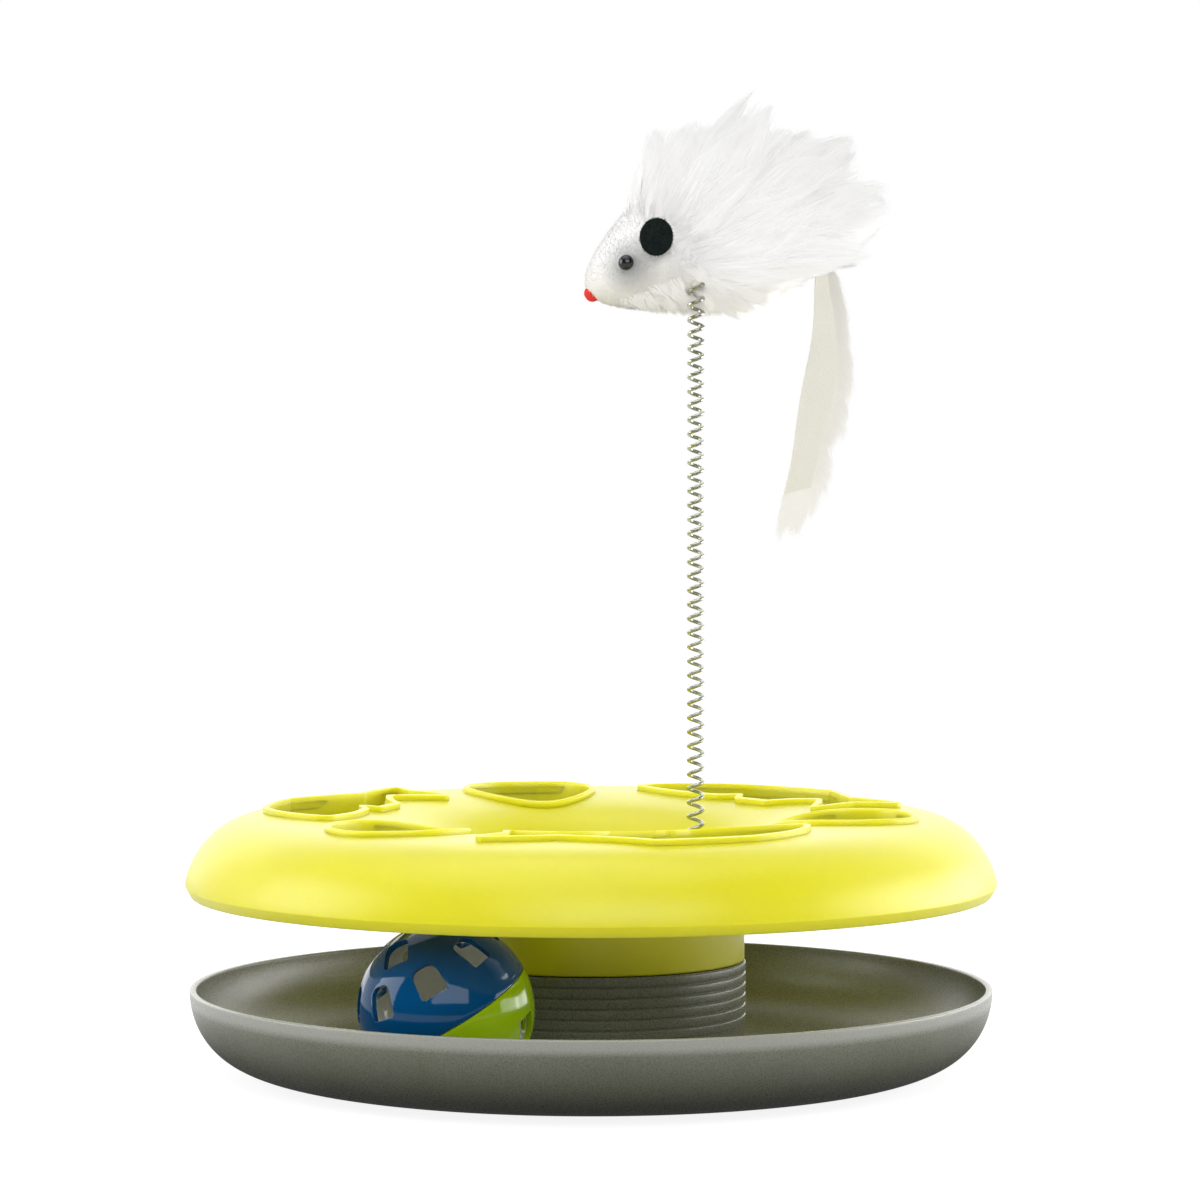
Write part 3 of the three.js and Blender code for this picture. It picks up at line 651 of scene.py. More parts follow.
def make_cover():
    under = offset(COVER_LINE, COVER_WALL)
    fillet = arc(DISH_R - DISH_FILLET_R, DISH_Z + DISH_FILLET_R, DISH_FILLET_R, 0, -90, 8)
    collar_z = SHOULDER_Z + FIT
    floor = DISH_Z - COVER_WALL
    collar = softened([(0, floor), (DISH_R, floor), (DISH_R, collar_z), (HUB_R, collar_z), under[0]], 0.5)
    shell = turned([*collar[:-1], *under, *COVER_LINE[::-1], *fillet, (0, DISH_Z)], 240)
    rims = []
    tools = []
    apart = 360 / CUTOUT_PAIRS
    for i in range(CUTOUT_PAIRS):
        for edge in (bent_fish(FISH_ANGLE + apart * i), round_port(FISH_ANGLE + apart / 2 + apart * i)):
            tools.append(prism([(x, y, DISH_Z) for x, y in edge], (0, 0, DISH_DEPTH + CUT_THROUGH)))
            rims.append(cutout_rim(edge))
    tools.append(begin("cylinder", vertices=48, radius=(STEM_R + FIT) * MM, depth=CUT_THROUGH * MM,
                       location=Vector((SPRING_X, 0, DISH_Z)) * MM))
    cut_away(shell, put_down(joined(tools)))
    placed(shell, "cover_dome", yellow, "yellow_plastic", "cover", "track_cover", smooth=30)
    placed(joined(rims), "cutout_rims", yellow, "yellow_plastic", "cover", smooth=60)


def cutout_rim(edge):
    """The raised rim round one cut-out, which also lines the wall of the hole."""
    loops = []
    for outward in (-RIM_LAP, BEAD_W):
        foot = [(x, y, cover_height(x, y) - COVER_WALL - SKIRT) for x, y in offset(edge, outward, closed=True)]
        loops.append(settle(drawn(foot, closed=True)))
    rim = joined(loops)
    editing(rim)
    bpy.ops.mesh.bridge_edge_loops()
    settle(rim)
    modify(rim, "SOLIDIFY", thickness=(SKIRT + COVER_WALL + BEAD_H) * MM, offset=1.0)
    editing(rim)
    face_outwards()
    return eased(settle(rim), 0.8, 4, 50)


make_tray()
make_feet()
make_hub()
make_cover()


# Ball and bell


def half_shell(radius, wall, steps, rows):
    outer = arc(0, 0, radius, 0, 90, rows)
    inner = arc(0, 0, radius - wall, 90, 0, rows)
    points = [(r, z + FIT / 2) for r, z in [*outer, *inner]]
    points[rows] = (0, points[rows][1])
    points[rows + 1] = (0, points[rows + 1][1])
    return turned([*points[rows + 1:], *points[:rows + 1]], steps)


def window_tool():
    """One window of the lattice: straight at its foot, with rounded upper corners."""
    w, h = WINDOW_W / 2, WINDOW_H / 2
    outline = [(-w, -h), (w, -h), *bezier([(w, -h), (0.94 * w, 0.3 * h)], 1)]
    outline += bezier([outline[-1], (0.88 * w, h), (0.25 * w, h)], 6)
    outline += [(-0.25 * w, h), *bezier([(-0.25 * w, h), (-0.88 * w, h), (-0.94 * w, 0.3 * h)], 6)]
    outline = softened(outline, 0.9, closed=True, least=40)
    return prism([(BALL_R - CUT_THROUGH / 2, y, z) for y, z in outline], (CUT_THROUGH, 0, 0))


def ball_place():
    """Takes a half made about Z to the ball's place, with its seam tilted as in the photograph."""
    tilt = Vector((0, 0, 1)).rotation_difference(SEAM_NORMAL)
    return Matrix.Translation(ball_centre(BALL_Z)) @ tilt.to_matrix().to_4x4()


def make_ball():
    flip = Matrix.Rotation(math.pi, 4, "X") @ Matrix.Rotation(math.radians(LIME_HALF_TURN), 4, "Z")
    for colour, material, turn in (("blue", blue, Matrix.Identity(4)), ("lime", lime, flip)):
        half = half_shell(BALL_R, BALL_WALL, 120, 28)
        places = []
        for latitude, count, start in WINDOW_ROWS:
            for i in range(count):
                around = Matrix.Rotation(math.radians(start + 360 * i / count), 4, "Z")
                places.append(around @ Matrix.Rotation(-math.radians(latitude), 4, "Y"))
        cut_away(half, copies(window_tool(), places))
        eased(half, 0.3, 2, 45)
        placed(half, f"lattice_half_{colour}", material, f"{colour}_plastic", "ball", f"ball_half_{colour}",
               at=ball_place() @ turn)


def make_bell():
    centre = ball_centre(BALL_Z - (BALL_R - BALL_WALL - BELL_R - 2 * FIT))
    top, low = (half_shell(BELL_R, BELL_WALL, 64, 16) for _ in range(2))
    placed(top, "bell_upper_cup", brass, "bell_brass", "bell", "bell_top", at=centre)
    slot = begin("cube", size=1, location=(0, 0, BELL_R * MM))
    slot.scale = Vector((*BELL_SLOT, BELL_R)) * MM
    cut_away(low, put_down(slot))
    under = Matrix.Translation(centre) @ Matrix.Rotation(math.pi, 4, "X")
    placed(low, "bell_lower_cup", brass, "bell_brass", "bell", "bell_bottom", at=under)
    pellet = begin("uv_sphere", segments=24, ring_count=16, radius=PELLET_R * MM)
    low_in_cup = centre - Vector((0, 0, BELL_R - BELL_WALL - PELLET_R - 2 * FIT)) * MM
    placed(pellet, "bell_shot", steel, "pellet_steel", "bell", "bell_pellet", smooth=60, at=low_in_cup)


make_ball()
make_bell()


# Spring and plug


def coil(turns, start):
    """Wire wound by a screw from a ring of its section, with both ends closed."""
    section = Vector(((SPRING_D - WIRE_SHOWN) / 2, 0, start)) * MM
    ring = begin("circle", vertices=10, radius=WIRE_SHOWN / 2 * MM, location=section, rotation=(math.pi / 2, 0, 0))
    put_down(ring)
    modify(ring, "SCREW", angle=TURN, screw_offset=SPRING_PITCH * MM, iterations=turns, steps=20, render_steps=20,
           use_merge_vertices=False)
    editing(ring)
    bpy.ops.mesh.select_all(action="DESELECT")
    bpy.ops.mesh.select_mode(type="EDGE")
    bpy.ops.mesh.select_non_manifold()
    bpy.ops.mesh.edge_face_add()
    bpy.ops.mesh.select_mode(type="VERT")
    face_outwards()
    bpy.ops.transform.translate(value=(SPRING_X * MM, 0, 0))
    return settle(ring)


def make_spring():
    start = SPRING_Z + WIRE_D / 2
    middle = start + LOWER_TURNS * SPRING_PITCH
    lower = finished(coil(LOWER_TURNS, start), "spring_lower", steel)
    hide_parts("spring")
    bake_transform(lower)
    upper = finished(coil(UPPER_TURNS, middle), "spring_upper", steel)
    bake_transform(upper)


def make_plug():
    seat = DISH_Z + FIT
    peg = COIL_R - WIRE_D / 2 - FIT
    peg_z = SPRING_Z + PEG_L
    stem_z = DISH_Z - STEM_L
    corners = [(0, stem_z), (STEM_R, stem_z), (STEM_R, seat), (PLUG_R, seat), (PLUG_R, PLUG_Z), (peg, PLUG_Z)]
    plug = turned(softened([*corners, (peg, peg_z), (0, peg_z)], 0.5), 64)
    placed(plug, "spring_foot_plug", white_plastic, "white_plastic", "cover", "spring_plug",
           at=Vector((SPRING_X, 0, 0)) * MM)


make_spring()
make_plug()


# Mouse: a stuffed skin with long fur, a short-napped face, felt ears and nose, and bead eyes

HEAD_TIP, HEAD_TILT, HEAD_L, HEAD_R, HEAD_POWER = Vector((-1.2, MOUSE_Y, 232)), 27, 28, 19, 0.55
BODY_TIP, BODY_TILT, BODY_L, BODY_R, BODY_POWER = Vector((12, MOUSE_Y, 243)), 9, 62, 19.5, 0.9
# Widths across the mouse, as a share of its height
HEAD_WIDE, BODY_WIDE = 0.95, 0.82
FAN = np.array([4, MOUSE_Y, 231])
# Middles of the ears, eyes and nose from the side, as (x, z), and how far out from the mouse's middle they sit
EAR, EAR_R, EAR_T, EAR_OUT = (19.2, 247.5), 5.4, 1.3, 17.9
EYE, EYE_R, EYE_OUT = (10.3, 240.1), 2.35, 13.2
NOSE, NOSE_R = (-1.5, 229.8), 2.5
CORE, CORE_R, SHAFT_R, SHAFT_TOP_Z = Vector((33, 8, 252.2)), 9, 2, 250
# How far hairs keep off the spring, where it stands before the belly, and off the ears and eyes; a few cross these
SPRING_CLEAR, BELLY_FRONT_Y, EAR_CLEAR, EYE_CLEAR, CROSSING = 0.5, -1.2, 0.3, 0.4, 0.015
# The longest hair, a hair with its root outside the outline, and the share of length low on the far side
LONGEST_HAIR, OUTSIDE_HAIR, FAR_SIDE_SHARE = 40.0, 1.5, 0.6
# Outline of the fur from the side, as (x, z), from the nose under the belly to the back and the forehead
FUR_OUTLINE = np.array([
    (-1.8, 234.6), (2.4, 229), (12.2, 227.2), (19.9, 224.2), (27.6, 221.3), (35.3, 222.8), (46, 222.8), (57, 233.1),
    (62.3, 234.9), (77.7, 238.4), (91, 254.7), (83.3, 264.8), (78.3, 269.8), (73.8, 276.6), (62.9, 280.2),
    (56.3, 282.5), (47.4, 290.5), (35.3, 283.4), (25.5, 278.7), (17, 280), (13.3, 267.5), (10, 255.9), (6.8, 251.5),
    (3, 246.1),
])
rng = np.random.default_rng(853)


def leaning(tip, tilt, flatten):
    """Takes a shape that is turned about Z to its place along the mouse, rising to the back."""
    axis = Matrix.Rotation(math.radians(90 - tilt), 4, "Y")
    return Matrix.Translation(tip * MM) @ Matrix.Diagonal((1, flatten, 1, 1)) @ axis


def make_skins():
    angles = np.linspace(0, math.pi, 26)
    round_line = [(BODY_R * math.sin(a) ** BODY_POWER, BODY_L / 2 * (1 - math.cos(a))) for a in angles]
    round_line[0], round_line[-1] = (0, 0), (0, BODY_L)
    body = turned(round_line, 48)
    placed(body, "stuffed_body", nap_white, "white_fur", "mouse", "mouse_body", smooth=80,
           at=leaning(BODY_TIP, BODY_TILT, BODY_WIDE))
    shares = np.linspace(0, 1, 22) ** 1.6
    skin_r = 0.97 * HEAD_R
    cone = [(skin_r * s**HEAD_POWER, HEAD_L * s) for s in shares]
    back = [(skin_r * c, HEAD_L * (1 + 0.25 * math.sqrt(1 - c * c))) for c in (0.9, 0.7, 0.4, 0)]
    head = turned([*cone, *back], 48)
    placed(head, "stuffed_head", face_skin, "white_fur", "mouse", "mouse_head", smooth=80,
           at=leaning(HEAD_TIP, HEAD_TILT, HEAD_WIDE))
    return body, head


def sorted_skin(obj):
    """A skin's points in millimetres, their normals and its triangles.
    They are sorted, because the order of a mesh's points may change between runs."""
    mesh = obj.data
    spots, normals = (np.empty(len(mesh.vertices) * 3) for _ in range(2))
    mesh.vertices.foreach_get("co", spots)
    mesh.vertices.foreach_get("normal", normals)
    spots = np.round(spots.reshape(-1, 3) / MM, 4)
    normals = np.round(normals.reshape(-1, 3), 4)
    order = np.lexsort(spots.T[::-1])
    rank = np.argsort(order)
    corners = []
    for face in mesh.polygons:
        loop = [int(rank[v]) for v in face.vertices]
        first = loop.index(min(loop))
        loop = loop[first:] + loop[:first]
        corners += [(loop[0], loop[i], loop[i + 1]) for i in range(1, len(loop) - 1)]
    return spots[order], normals[order], np.array(sorted(corners))


def scatter(obj, count, keep=None):
    """Spots all over a skin, or where keep allows them, in millimetres, with the skin's normals there."""
    spots, normals, corners = sorted_skin(obj)
    a, b, c = (spots[corners[:, i]] for i in range(3))
    areas = np.linalg.norm(np.cross(b - a, c - a), axis=1)
    if keep is not None:
        areas = areas * keep((a + b + c) / 3)
    chosen = rng.choice(len(corners), count, p=areas / areas.sum())
    u, v = rng.random(count), rng.random(count)
    over = u + v > 1
    u[over], v[over] = 1 - u[over], 1 - v[over]
    weights = np.stack([1 - u - v, u, v], 1)[:, :, None]
    roots = np.sum(spots[corners[chosen]] * weights, 1)
    ways = np.sum(normals[corners[chosen]] * weights, 1)
    return roots, unit(ways)


def unit(v):
    return v / np.maximum(np.linalg.norm(v, axis=-1, keepdims=True), 1e-9)


def strayed(ways, spread):
    return unit(ways + rng.normal(0, spread, ways.shape))


def turned_up(ways):
    """Normals of the skin turned up, for fur that catches the light as one soft mass."""
    under = np.clip(-ways[:, 2:], 0, 1)
    return unit(ways * (np.array([0.6, 0.65, 1]) + under * [0.4, 0.35, -0.65]) + (0.75 - 0.4 * under) * [0, 0, 1])


def locks(roots, count):
    """The rows of some leading hairs, and which of them is nearest to each hair."""
    leaders = rng.choice(len(roots), count, replace=False)
    gaps = np.linalg.norm(roots[:, None] - roots[None, leaders], axis=2)
    return leaders, np.argmin(gaps, 1)


def hair_paths(roots, first, last, lengths, leaders=None, pull=0.0, rings=4):
    """Centre lines of hairs that leave their roots one way and bend to another, drawn to their leaders' tips."""
    t = np.linspace(0, 1, rings + 1)[None, :, None]
    bent = first[:, None] * (t - t * t / 2) + last[:, None] * t * t / 2
    paths = roots[:, None] + lengths[:, None, None] * bent
    if leaders is not None:
        share = pull * rng.uniform(0.7, 1, len(roots))[:, None, None] * t**1.4
        paths = paths + (paths[leaders] - paths) * share
    return paths


def hairs(name, paths, ways, thick, material, slot, body, *nodes, free=None, soft=0.75, upward=1.0, shadow=False):
    """Tapering three-sided hairs along centre lines, as one mesh.
    Thick is the range of their width. They are shaded mostly like the skin under them, turned up.
    'along' runs from 0 at the roots to 1 at the tips."""
    thick = rng.uniform(*thick, len(paths))
    aside = rng.normal(size=(len(paths), 3))
    if free is not None:
        paths, ways, thick, aside = paths[free], ways[free], thick[free], aside[free]
    count, rings = paths.shape[0], paths.shape[1] - 1
    run = unit(paths[:, -1] - paths[:, 0])
    side = unit(np.cross(run, aside))
    other = np.cross(run, side)
    t = np.linspace(0, 1, rings + 1)[:-1]
    widths = thick[:, None] * (1 - 0.8 * t[None]) / 2
    angles = np.arange(3) * TURN / 3
    ring = np.cos(angles)[:, None] * side[:, None] + np.sin(angles)[:, None] * other[:, None]
    tubes = paths[:, :-1, None] + widths[:, :, None, None] * ring[:, None]
    spots = np.concatenate([tubes.reshape(count, -1, 3), paths[:, -1:]], 1)
    per = rings * 3 + 1
    faces = [(0, 2, 1)]
    for r in range(rings - 1):
        for k in range(3):
            a, b = r * 3 + k, r * 3 + (k + 1) % 3
            faces += [(a, b, b + 3), (a, b + 3, a + 3)]
    faces += [(per - 4 + k, per - 4 + (k + 1) % 3, per - 1) for k in range(3)]
    every = (np.array(faces)[None] + np.arange(count)[:, None, None] * per).reshape(-1, 3)
    mesh = bpy.data.meshes.new(name)
    mesh.from_pydata(spots.reshape(-1, 3) * MM, [], every)
    along = mesh.attributes.new("along", "FLOAT", "POINT")
    share = np.append(np.repeat(t, 3), 1.0)
    along.data.foreach_set("value", np.tile(share, count).astype(np.float32))
    mesh.polygons.foreach_set("use_smooth", np.ones(len(mesh.polygons), bool))
    own = np.concatenate([np.repeat(ring[:, None], rings, 1).reshape(count, -1, 3), run[:, None]], 1)
    lit = unit(upward * turned_up(ways) + (1 - upward) * ways)
    mesh.normals_split_custom_set_from_vertices(unit(soft * lit[:, None] + (1 - soft) * own).reshape(-1, 3))
    mesh.update()
    obj = bpy.data.objects.new(name, mesh)
    scene.collection.objects.link(obj)
    obj.visible_shadow = shadow
    return placed(obj, name, material, slot, body, *nodes, smooth=None)


def spots_along(paths):
    """The points of the hairs' centre lines and those half-way between them, as x, y and z."""
    spots = np.concatenate([paths, (paths[:, 1:] + paths[:, :-1]) / 2], 1)
    return spots[:, :, 0], spots[:, :, 1], spots[:, :, 2]


def clear_of_spring(paths):
    """Hairs that would hide or cross the spring where it shows in front of the belly are left out."""
    x, y, z = spots_along(paths)
    near = np.abs(x - SPRING_X) < SPRING_D / 2 + SPRING_CLEAR
    return ~np.any(near & (y < BELLY_FRONT_Y) & (z < SPRING_TOP_Z - 1), 1)


def clear_of_ears(paths):
    """Nearly all hairs keep off the felt ears and the bead eyes; a few cross them."""
    x, _, z = spots_along(paths)
    over_ear = np.hypot(x - EAR[0], z - EAR[1]) < EAR_R + EAR_CLEAR
    over_eye = np.hypot(x - EYE[0], z - EYE[1]) < EYE_R + EYE_CLEAR
    return ~np.any(over_ear | over_eye, 1) | (rng.random(len(paths)) < CROSSING)


def room(roots, ways):
    """How far each hair can run before it leaves the fur's outline, seen from the side."""
    spots, runs = roots[:, [0, 2]], ways[:, [0, 2]]
    best = np.full(len(roots), LONGEST_HAIR)
    crossed = np.zeros(len(roots), int)
    for start, end in zip(FUR_OUTLINE, np.roll(FUR_OUTLINE, -1, 0)):
        edge, gap = end - start, start - spots
        with np.errstate(divide="ignore", invalid="ignore"):
            across = runs[:, 0] * edge[1] - runs[:, 1] * edge[0]
            t = (gap[:, 0] * edge[1] - gap[:, 1] * edge[0]) / across
            u = (gap[:, 0] * runs[:, 1] - gap[:, 1] * runs[:, 0]) / across
        hit = (t > 0) & (u >= 0) & (u <= 1)
        crossed += hit
        best = np.where(hit & (t < best), t, best)
    return np.where(crossed % 2, best, OUTSIDE_HAIR)


def fur_start(spots):
    """Where the long fur begins: far forward on the forehead, behind the ear, and behind the spring below it."""
    return np.interp(spots[:, 2], [228, 238, 244, 250, 256], [33, 29, 25, 22, 7])


def long_fur(skin, name, count, longest, wild, lock, pull, reach, ragged):
    """Fur that fans out from the face and lies back over the body in locks, as long as its outline leaves room for."""
    roots, ways = scatter(skin, count, lambda p: (p[:, 0] > fur_start(p)) * 1.0)
    fan = roots - FAN
    fan[:, 1] *= 0.35
    fan = unit(fan)
    fan[:, 2] -= 0.35 * np.clip((240 - roots[:, 2]) / 10, 0, 1)
    first = strayed(0.7 * ways + 0.8 * fan, 0.1 * wild)
    last = strayed(0.12 * ways + fan, 0.1 * wild)
    grown = np.clip((roots[:, 0] - fur_start(roots)) / np.interp(roots[:, 2], [250, 258], [10, 4]), 0.15, 1)
    leaders, mine = locks(roots, count // lock)
    lengths = np.minimum(longest * grown, reach * room(roots, unit(first + last))) * rng.uniform(0.8, 1.04, count)
    lengths *= rng.uniform(1 - ragged, 1 + 0.4 * ragged, len(leaders))[mine]
    lengths *= np.where((roots[:, 1] > MOUSE_Y) & (roots[:, 2] < 240), FAR_SIDE_SHARE, 1)
    paths = hair_paths(roots, first, last, lengths, leaders[mine], pull, rings=3)
    lies_back = np.sum((paths[:, -1] - roots) * last, 1) > 0.35 * lengths
    free = lies_back & clear_of_spring(paths) & clear_of_ears(paths)
    shared = unit(ways + pull * ways[leaders[mine]])
    hairs(name, paths, shared, (0.16, 0.3), fur_white, "white_fur", "mouse", free=free, soft=0.9)


def belly_fur(skin, name, count):
    """Softer fur that fills out the belly between the chin and the hind part, ragged behind the spring."""
    def keep(p):
        top = np.interp(p[:, 0], [10, 18, 27, 34, 50], [230, 233, 237, 243, 246])
        return ((p[:, 0] > 9) & (p[:, 0] < 50) & (p[:, 2] < top)) * 1.0
    roots, ways = scatter(skin, count, keep)
    behind_spring = roots[:, 0] > SPRING_X + 2
    back = np.interp(roots[:, 0], [10, 30, 46], [0.5, 0.5, 1.1])[:, None] * np.array([1, 0, 0])
    first = strayed(0.6 * ways + back, 0.12)
    last = strayed(0.3 * ways + back + [0, 0, -0.45], 0.14)
    leaders, mine = locks(roots, count // 60)
    longest = np.interp(roots[:, 0], [9, 16, 24, 34, 50], [1.2, 2.5, 4.5, 8, 12])
    lengths = np.minimum(longest, room(roots, unit(first + last)))
    ragged = np.where(behind_spring, rng.uniform(0.7, 1.2, len(leaders))[mine], 1)
    ragged = np.where(roots[:, 1] > MOUSE_Y, FAR_SIDE_SHARE, ragged)
    lengths = lengths * ragged * rng.uniform(0.8, 1, count)
    pull = np.where(behind_spring, 0.78, 0.5)[:, None, None]
    paths = hair_paths(roots, first, last, lengths, leaders[mine], pull, rings=3)
    free = clear_of_spring(paths) & clear_of_ears(paths)
    hairs(name, paths, ways, (0.14, 0.26), nap_white, "white_fur", "mouse", free=free, soft=0.9)


def short_nap(skin, name, count, keep, lengths, material, upward):
    """The short nap of the face and the belly, lying back from the nose."""
    roots, ways = scatter(skin, count, keep)
    back = unit(roots - np.array([-3, MOUSE_Y, 230]))
    first = strayed(ways + 0.6 * back, 0.3)
    last = strayed(0.5 * ways + back, 0.35)
    grown = rng.uniform(*lengths, count) * np.clip(0.5 + roots[:, 0] / 20, 0.6, 2.0)
    paths = hair_paths(roots, first, last, grown, rings=2)
    free = clear_of_spring(paths) & clear_of_ears(paths)
    hairs(name, paths, ways, (0.1, 0.18), material, "white_fur", "mouse", free=free, soft=0.85, upward=upward)


def felt_fuzz(piece, name, count=1400):
    """Loose fibres that stand out of a felt piece."""
    roots, ways = scatter(piece, count)
    first = strayed(ways, 0.7)
    last = strayed(0.3 * ways, 0.8)
    paths = hair_paths(roots, first, last, rng.uniform(0.4, 1.1, count), rings=2)
    hairs(name, paths, ways, (0.07, 0.13), felt_black, "black_felt", "mouse", soft=0.4, shadow=True)


def make_ears_eyes_nose():
    angles = np.linspace(0, math.pi, 15)
    for side, label in ((-1, "left"), (1, "right")):
        disc = begin("cylinder", vertices=40, radius=EAR_R * MM, depth=EAR_T * MM)
        editing(disc)
        bpy.ops.mesh.bevel(offset=0.4 * MM, segments=2)
        bpy.ops.mesh.subdivide(number_cuts=1)
        settle(disc)
        oval = Matrix.Diagonal((0.92, 1.04, 1, 1))
        beside = facing((EAR[0], MOUSE_Y + side * EAR_OUT, EAR[1]), (-0.2, side, 0.12))
        placed(disc, f"felt_ear_{label}", felt_black, "black_felt", "mouse", f"ear_{label}", at=beside @ oval)
        felt_fuzz(disc, f"felt_fuzz_{label}")
        bead = turned([(EYE_R * math.sin(a), -0.8 * EYE_R * math.cos(a)) for a in angles], 28)
        placed(bead, f"bead_eye_{label}", black_bead, "black_bead", "mouse", f"eye_{label}", smooth=60,
               at=facing((EYE[0], MOUSE_Y + side * EYE_OUT, EYE[1]), (-0.45, side, 0.2)))
    cap = turned([(NOSE_R * math.sin(a) ** 0.8, NOSE_R * (1 - math.cos(a))) for a in angles], 28)
    placed(cap, "felt_nose", felt_red, "red_felt", "mouse", "nose", smooth=60,
           at=facing((NOSE[0], MOUSE_Y, NOSE[1]), (1, 0, 0.75)))


def make_core():
    """The stiff core inside the stuffing, with the peg that holds the spring."""
    peg = COIL_R - WIRE_D / 2 - FIT
    seat = SPRING_TOP_Z + FIT
    low = seat + FIT - PEG_SHOWN
    shaft = [(0, low), (peg, low), (peg, seat), (SHAFT_R, seat), (SHAFT_R, SHAFT_TOP_Z), (0, SHAFT_TOP_Z)]
    stem = turned(softened(shaft, 0.3), 32)
    stem.location.x = SPRING_X * MM
    angles = np.linspace(-math.pi / 2, math.pi / 2, 17)
    ball = turned([(CORE_R * abs(math.cos(a)), CORE_R * math.sin(a)) for a in angles], 32)
    ball.location = CORE * MM
    core = joined([put_down(stem), put_down(ball)])
    placed(core, "stuffing_core", white_plastic, "white_plastic", "mouse", "mouse_core")


# Tail: a cut strip of pelt, skin side to the front, with its fur behind it

TAIL_LEFT = [(66.8, 241), (66.6, 229), (66, 217), (63.6, 207.6), (61.4, 195), (60.3, 185), (59, 177), (57.6, 171.7)]
TAIL_RIGHT = [(69.6, 241), (71.5, 228.5), (73.4, 217), (73.6, 205.5), (72.6, 199.6), (68, 184.6), (66.5, 178),
              (65.6, 173.6)]
PELT_T = 0.7


def along_edge(points, count):
    """An edge drawn smoothly through its points, from the top down."""
    spots = np.array(points)
    z = np.linspace(spots[0, 1], spots[-1, 1], count)
    x = np.interp(z, spots[::-1, 1], spots[::-1, 0])
    for _ in range(8):
        x[1:-1] = (x[:-2] + 2 * x[1:-1] + x[2:]) / 4
    return np.stack([x, z], 1)


def make_tail():
    rows = 30
    left, right = along_edge(TAIL_LEFT, rows), along_edge(TAIL_RIGHT, rows)
    wave = 0.5 * np.sin(np.linspace(0, 5, rows))
    edges = [np.stack([e[:, 0], MOUSE_Y + wave + y, e[:, 1]], 1) for e, y in ((left, -0.5), (right, 0.5))]
    strip = joined([settle(drawn(e)) for e in edges])
    editing(strip)
    bpy.ops.mesh.bridge_edge_loops(number_cuts=5, interpolation="LINEAR")
    face_outwards()
    settle(strip)
    modify(strip, "SOLIDIFY", thickness=PELT_T * MM, offset=0.0)
    placed(strip, "pelt_strip", pelt, "cream_pelt", "tail", "tail_strip", smooth=60)
    strip.visible_shadow = False
    return edges


def tail_fur(edges, count=5200):
    """Fur behind the strip, showing beyond its right edge and as a tuft at its cut end."""
    down, across = rng.random(count), rng.random(count) ** 0.5
    tuft = rng.random(count) < 0.2
    down[tuft] = rng.uniform(0.93, 1, tuft.sum())
    across[tuft] = rng.random(tuft.sum())
    row = down * (len(edges[0]) - 1)
    spots = [np.stack([np.interp(row, np.arange(len(e)), e[:, i]) for i in range(3)], 1) for e in edges]
    roots = spots[0] + (spots[1] - spots[0]) * across[:, None] + [0, 0.35, 0]
    ways = unit(np.stack([0.5 * across**2, np.full(count, -0.8), np.full(count, 0.25)], 1))
    outward = np.stack([1.5 * across**2, np.full(count, 0.35), np.full(count, -0.7)], 1)
    first = strayed(outward, 0.1)
    last = strayed(np.tile([-0.05, 0.02, -1], (count, 1)), 0.08)
    first[tuft] = strayed(np.tile([-0.15, 0.1, -1], (tuft.sum(), 1)), 0.1)
    last[tuft] = strayed(np.tile([-0.3, 0, -1], (tuft.sum(), 1)), 0.07)
    lengths = np.where(tuft, rng.uniform(11, 18, count), rng.uniform(9, 16, count) * (1 - 0.3 * down))
    leaders, mine = locks(roots, 70)
    paths = hair_paths(roots, first, last, lengths, leaders[mine], 0.5)
    hairs("tail_fur_strands", paths, ways, (0.14, 0.26), fur_cream, "white_fur", "tail", "tail_fur")


body_skin, head_skin = make_skins()
long_fur(body_skin, "body_fur", 12000, longest=24, wild=0.9, lock=45, pull=0.6, reach=0.98, ragged=0.1)
long_fur(body_skin, "body_wisps", 7500, longest=34, wild=1.2, lock=120, pull=1.0, reach=1.18, ragged=0.26)
long_fur(head_skin, "neck_fur", 9000, longest=26, wild=1.0, lock=70, pull=0.85, reach=1.08, ragged=0.2)
belly_fur(body_skin, "belly_fur", 5000)
belly_fur(head_skin, "throat_fur", 7000)
short_nap(head_skin, "face_nap", 17000, lambda p: (p[:, 0] < 32) * 1.0, lengths=(0.9, 1.7), material=face_nap,
          upward=0.5)
short_nap(body_skin, "belly_nap", 3500, lambda p: ((p[:, 2] < 247) & (p[:, 0] < 35)) * 1.0, lengths=(1.2, 2.2),
          material=nap_white, upward=1.0)
# The skin between the hairs is shaded as they are; its own normals are needed until here
skin_ways = np.array([v.normal for v in body_skin.data.vertices])
body_skin.data.normals_split_custom_set_from_vertices(turned_up(skin_ways))
make_ears_eyes_nose()
make_core()
tail_fur(make_tail())


# Stage: a white floor and backdrop, soft light, and the camera at the photograph's angle

PAPER = 0.8
CAMERA, CAMERA_AIM = (0, -1.4, 0.2042), (0, 0, 0.145)
LENS, LENS_SHIFT = 142.1, (9 / 1200, -15.3 / 1200)


def direct_view(tree):
    """The light path's sockets, and whether the camera looks at a place directly or through something clear."""
    ray = node(tree, "ShaderNodeLightPath").outputs
    return ray, number(tree, "MAXIMUM", ray["Is Camera Ray"], ray["Is Transmission Ray"])


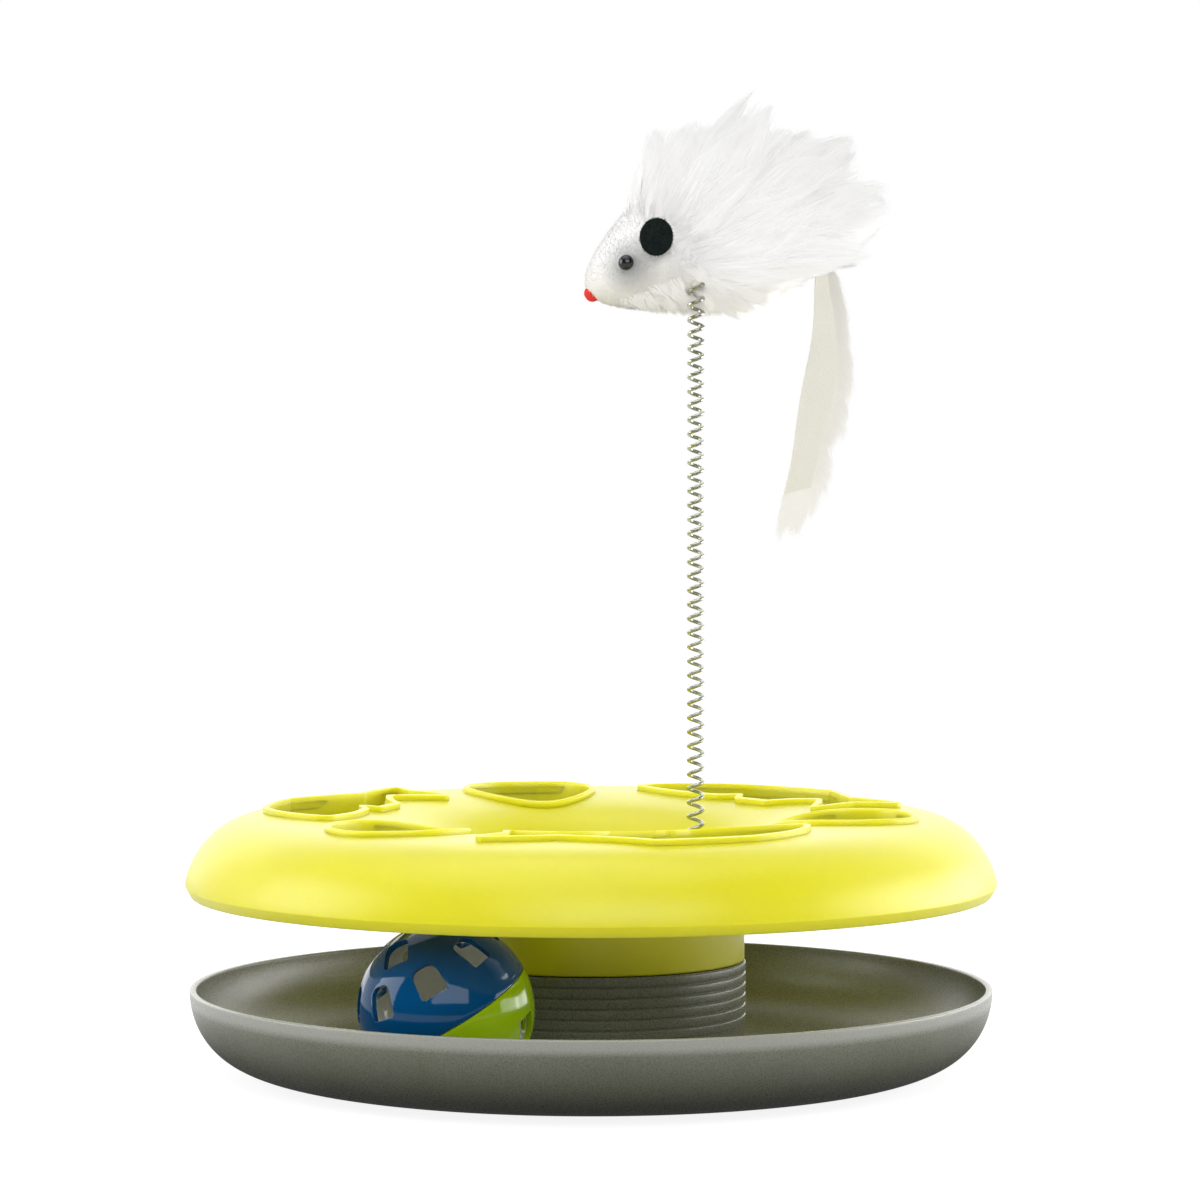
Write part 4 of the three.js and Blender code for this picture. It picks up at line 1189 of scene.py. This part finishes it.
def paper(name):
    """White to the camera, with the object's faint shadow kept, and a pale floor to all other light, with a painted
    shadow that darkens it near the tray.
    Gloss shows it white too, apart from that painted shadow under the tray."""
    made = bpy.data.materials.new(name)
    made.use_nodes = True
    tree = made.node_tree
    tree.nodes.clear()
    ray, seen = direct_view(tree)
    away = vector(tree, "LENGTH", object_place(tree), result="Value")
    # Painted shadow: the floor darkens near the tray, in its bounce light and in what gloss sees
    clear = ramp(tree, away, 0.115, 0.18, 0.1, 1.0)
    matt = node(tree, "ShaderNodeBsdfDiffuse", {"Color": number(tree, "MULTIPLY", clear, PAPER)})
    mirrored = node(tree, "ShaderNodeEmission", {"Strength": clear})
    thin = node(tree, "ShaderNodeBsdfDiffuse", {"Color": (0.3, 0.3, 0.3, 1)})
    glow = node(tree, "ShaderNodeEmission", {"Strength": 0.88})
    shown = node(tree, "ShaderNodeAddShader", {0: thin.outputs[0], 1: glow.outputs[0]})
    given = {"Fac": ray["Is Glossy Ray"], 1: matt.outputs[0], 2: mirrored.outputs[0]}
    other = node(tree, "ShaderNodeMixShader", given)
    both = node(tree, "ShaderNodeMixShader", {"Fac": seen, 1: other.outputs[0], 2: shown.outputs[0]})
    node(tree, "ShaderNodeOutputMaterial", {"Surface": both.outputs[0]})
    return made


def make_stage():
    floor = begin("plane", size=5, location=(0, 0, 0))
    floor.name = "floor"
    floor.data.materials.append(paper("white_floor"))
    world = bpy.data.worlds.new("studio")
    scene.world = world
    world.use_nodes = True
    tree = world.node_tree
    tree.nodes.clear()
    ray, seen = direct_view(tree)
    way = node(tree, "ShaderNodeTexCoord").outputs["Generated"]
    depth = node(tree, "ShaderNodeSeparateXYZ", {"Vector": way}).outputs["Y"]
    given = {"Factor": ray["Is Glossy Ray"], 2: ramp(tree, seen, 0, 1, 0.25), 3: ramp(tree, depth, -0.1, 0.25, 0.07)}
    strength = node(tree, "ShaderNodeMix", given, data_type="FLOAT").outputs[0]
    white = node(tree, "ShaderNodeBackground", {"Color": (1, 1, 1, 1), "Strength": strength})
    node(tree, "ShaderNodeOutputWorld", {"Surface": white.outputs[0]})


def softbox(name, place, aim, size, power):
    light = bpy.data.lights.new(name, "AREA")
    light.shape = "RECTANGLE"
    light.size, light.size_y = size
    light.energy = power
    obj = bpy.data.objects.new(name, light)
    scene.collection.objects.link(obj)
    obj.location = place
    obj.rotation_euler = (Vector(aim) - Vector(place)).to_track_quat("-Z", "Y").to_euler()
    obj.visible_camera = False


def make_camera():
    data = bpy.data.cameras.new("camera")
    data.sensor_width = 36
    data.lens = LENS
    data.shift_x, data.shift_y = LENS_SHIFT
    data.clip_end = 50
    camera = bpy.data.objects.new("camera", data)
    scene.collection.objects.link(camera)
    camera.location = CAMERA
    aim = Vector(CAMERA_AIM) - camera.location
    camera.rotation_euler = aim.to_track_quat("-Z", "Y").to_euler()
    scene.camera = camera


make_stage()
for label, place, aim, size, power in (
    ("overhead", (-0.2, -0.2, 1.6), (0, 0, 0.1), (1.6, 1.6), 13),
    ("front_box", (0.2, -1.8, 1.1), (0, 0, 0.15), (1.8, 1.2), 21),
    ("left_box", (-1.5, -0.1, 0.6), (0, 0, 0.1), (1.0, 1.0), 13),
    ("right_box", (1.5, 0.05, 0.42), (0, 0, 0.06), (1.0, 0.84), 11),
    ("low_sheet", (1.4, 0.8, 0.28), (0, 0, 0.05), (1.0, 0.56), 7),
    ("back_sheet", (0, 2.2, 0.9), (0, 0, 0.15), (4.0, 1.8), 22),
):
    softbox(label, place, aim, size, power)
make_camera()
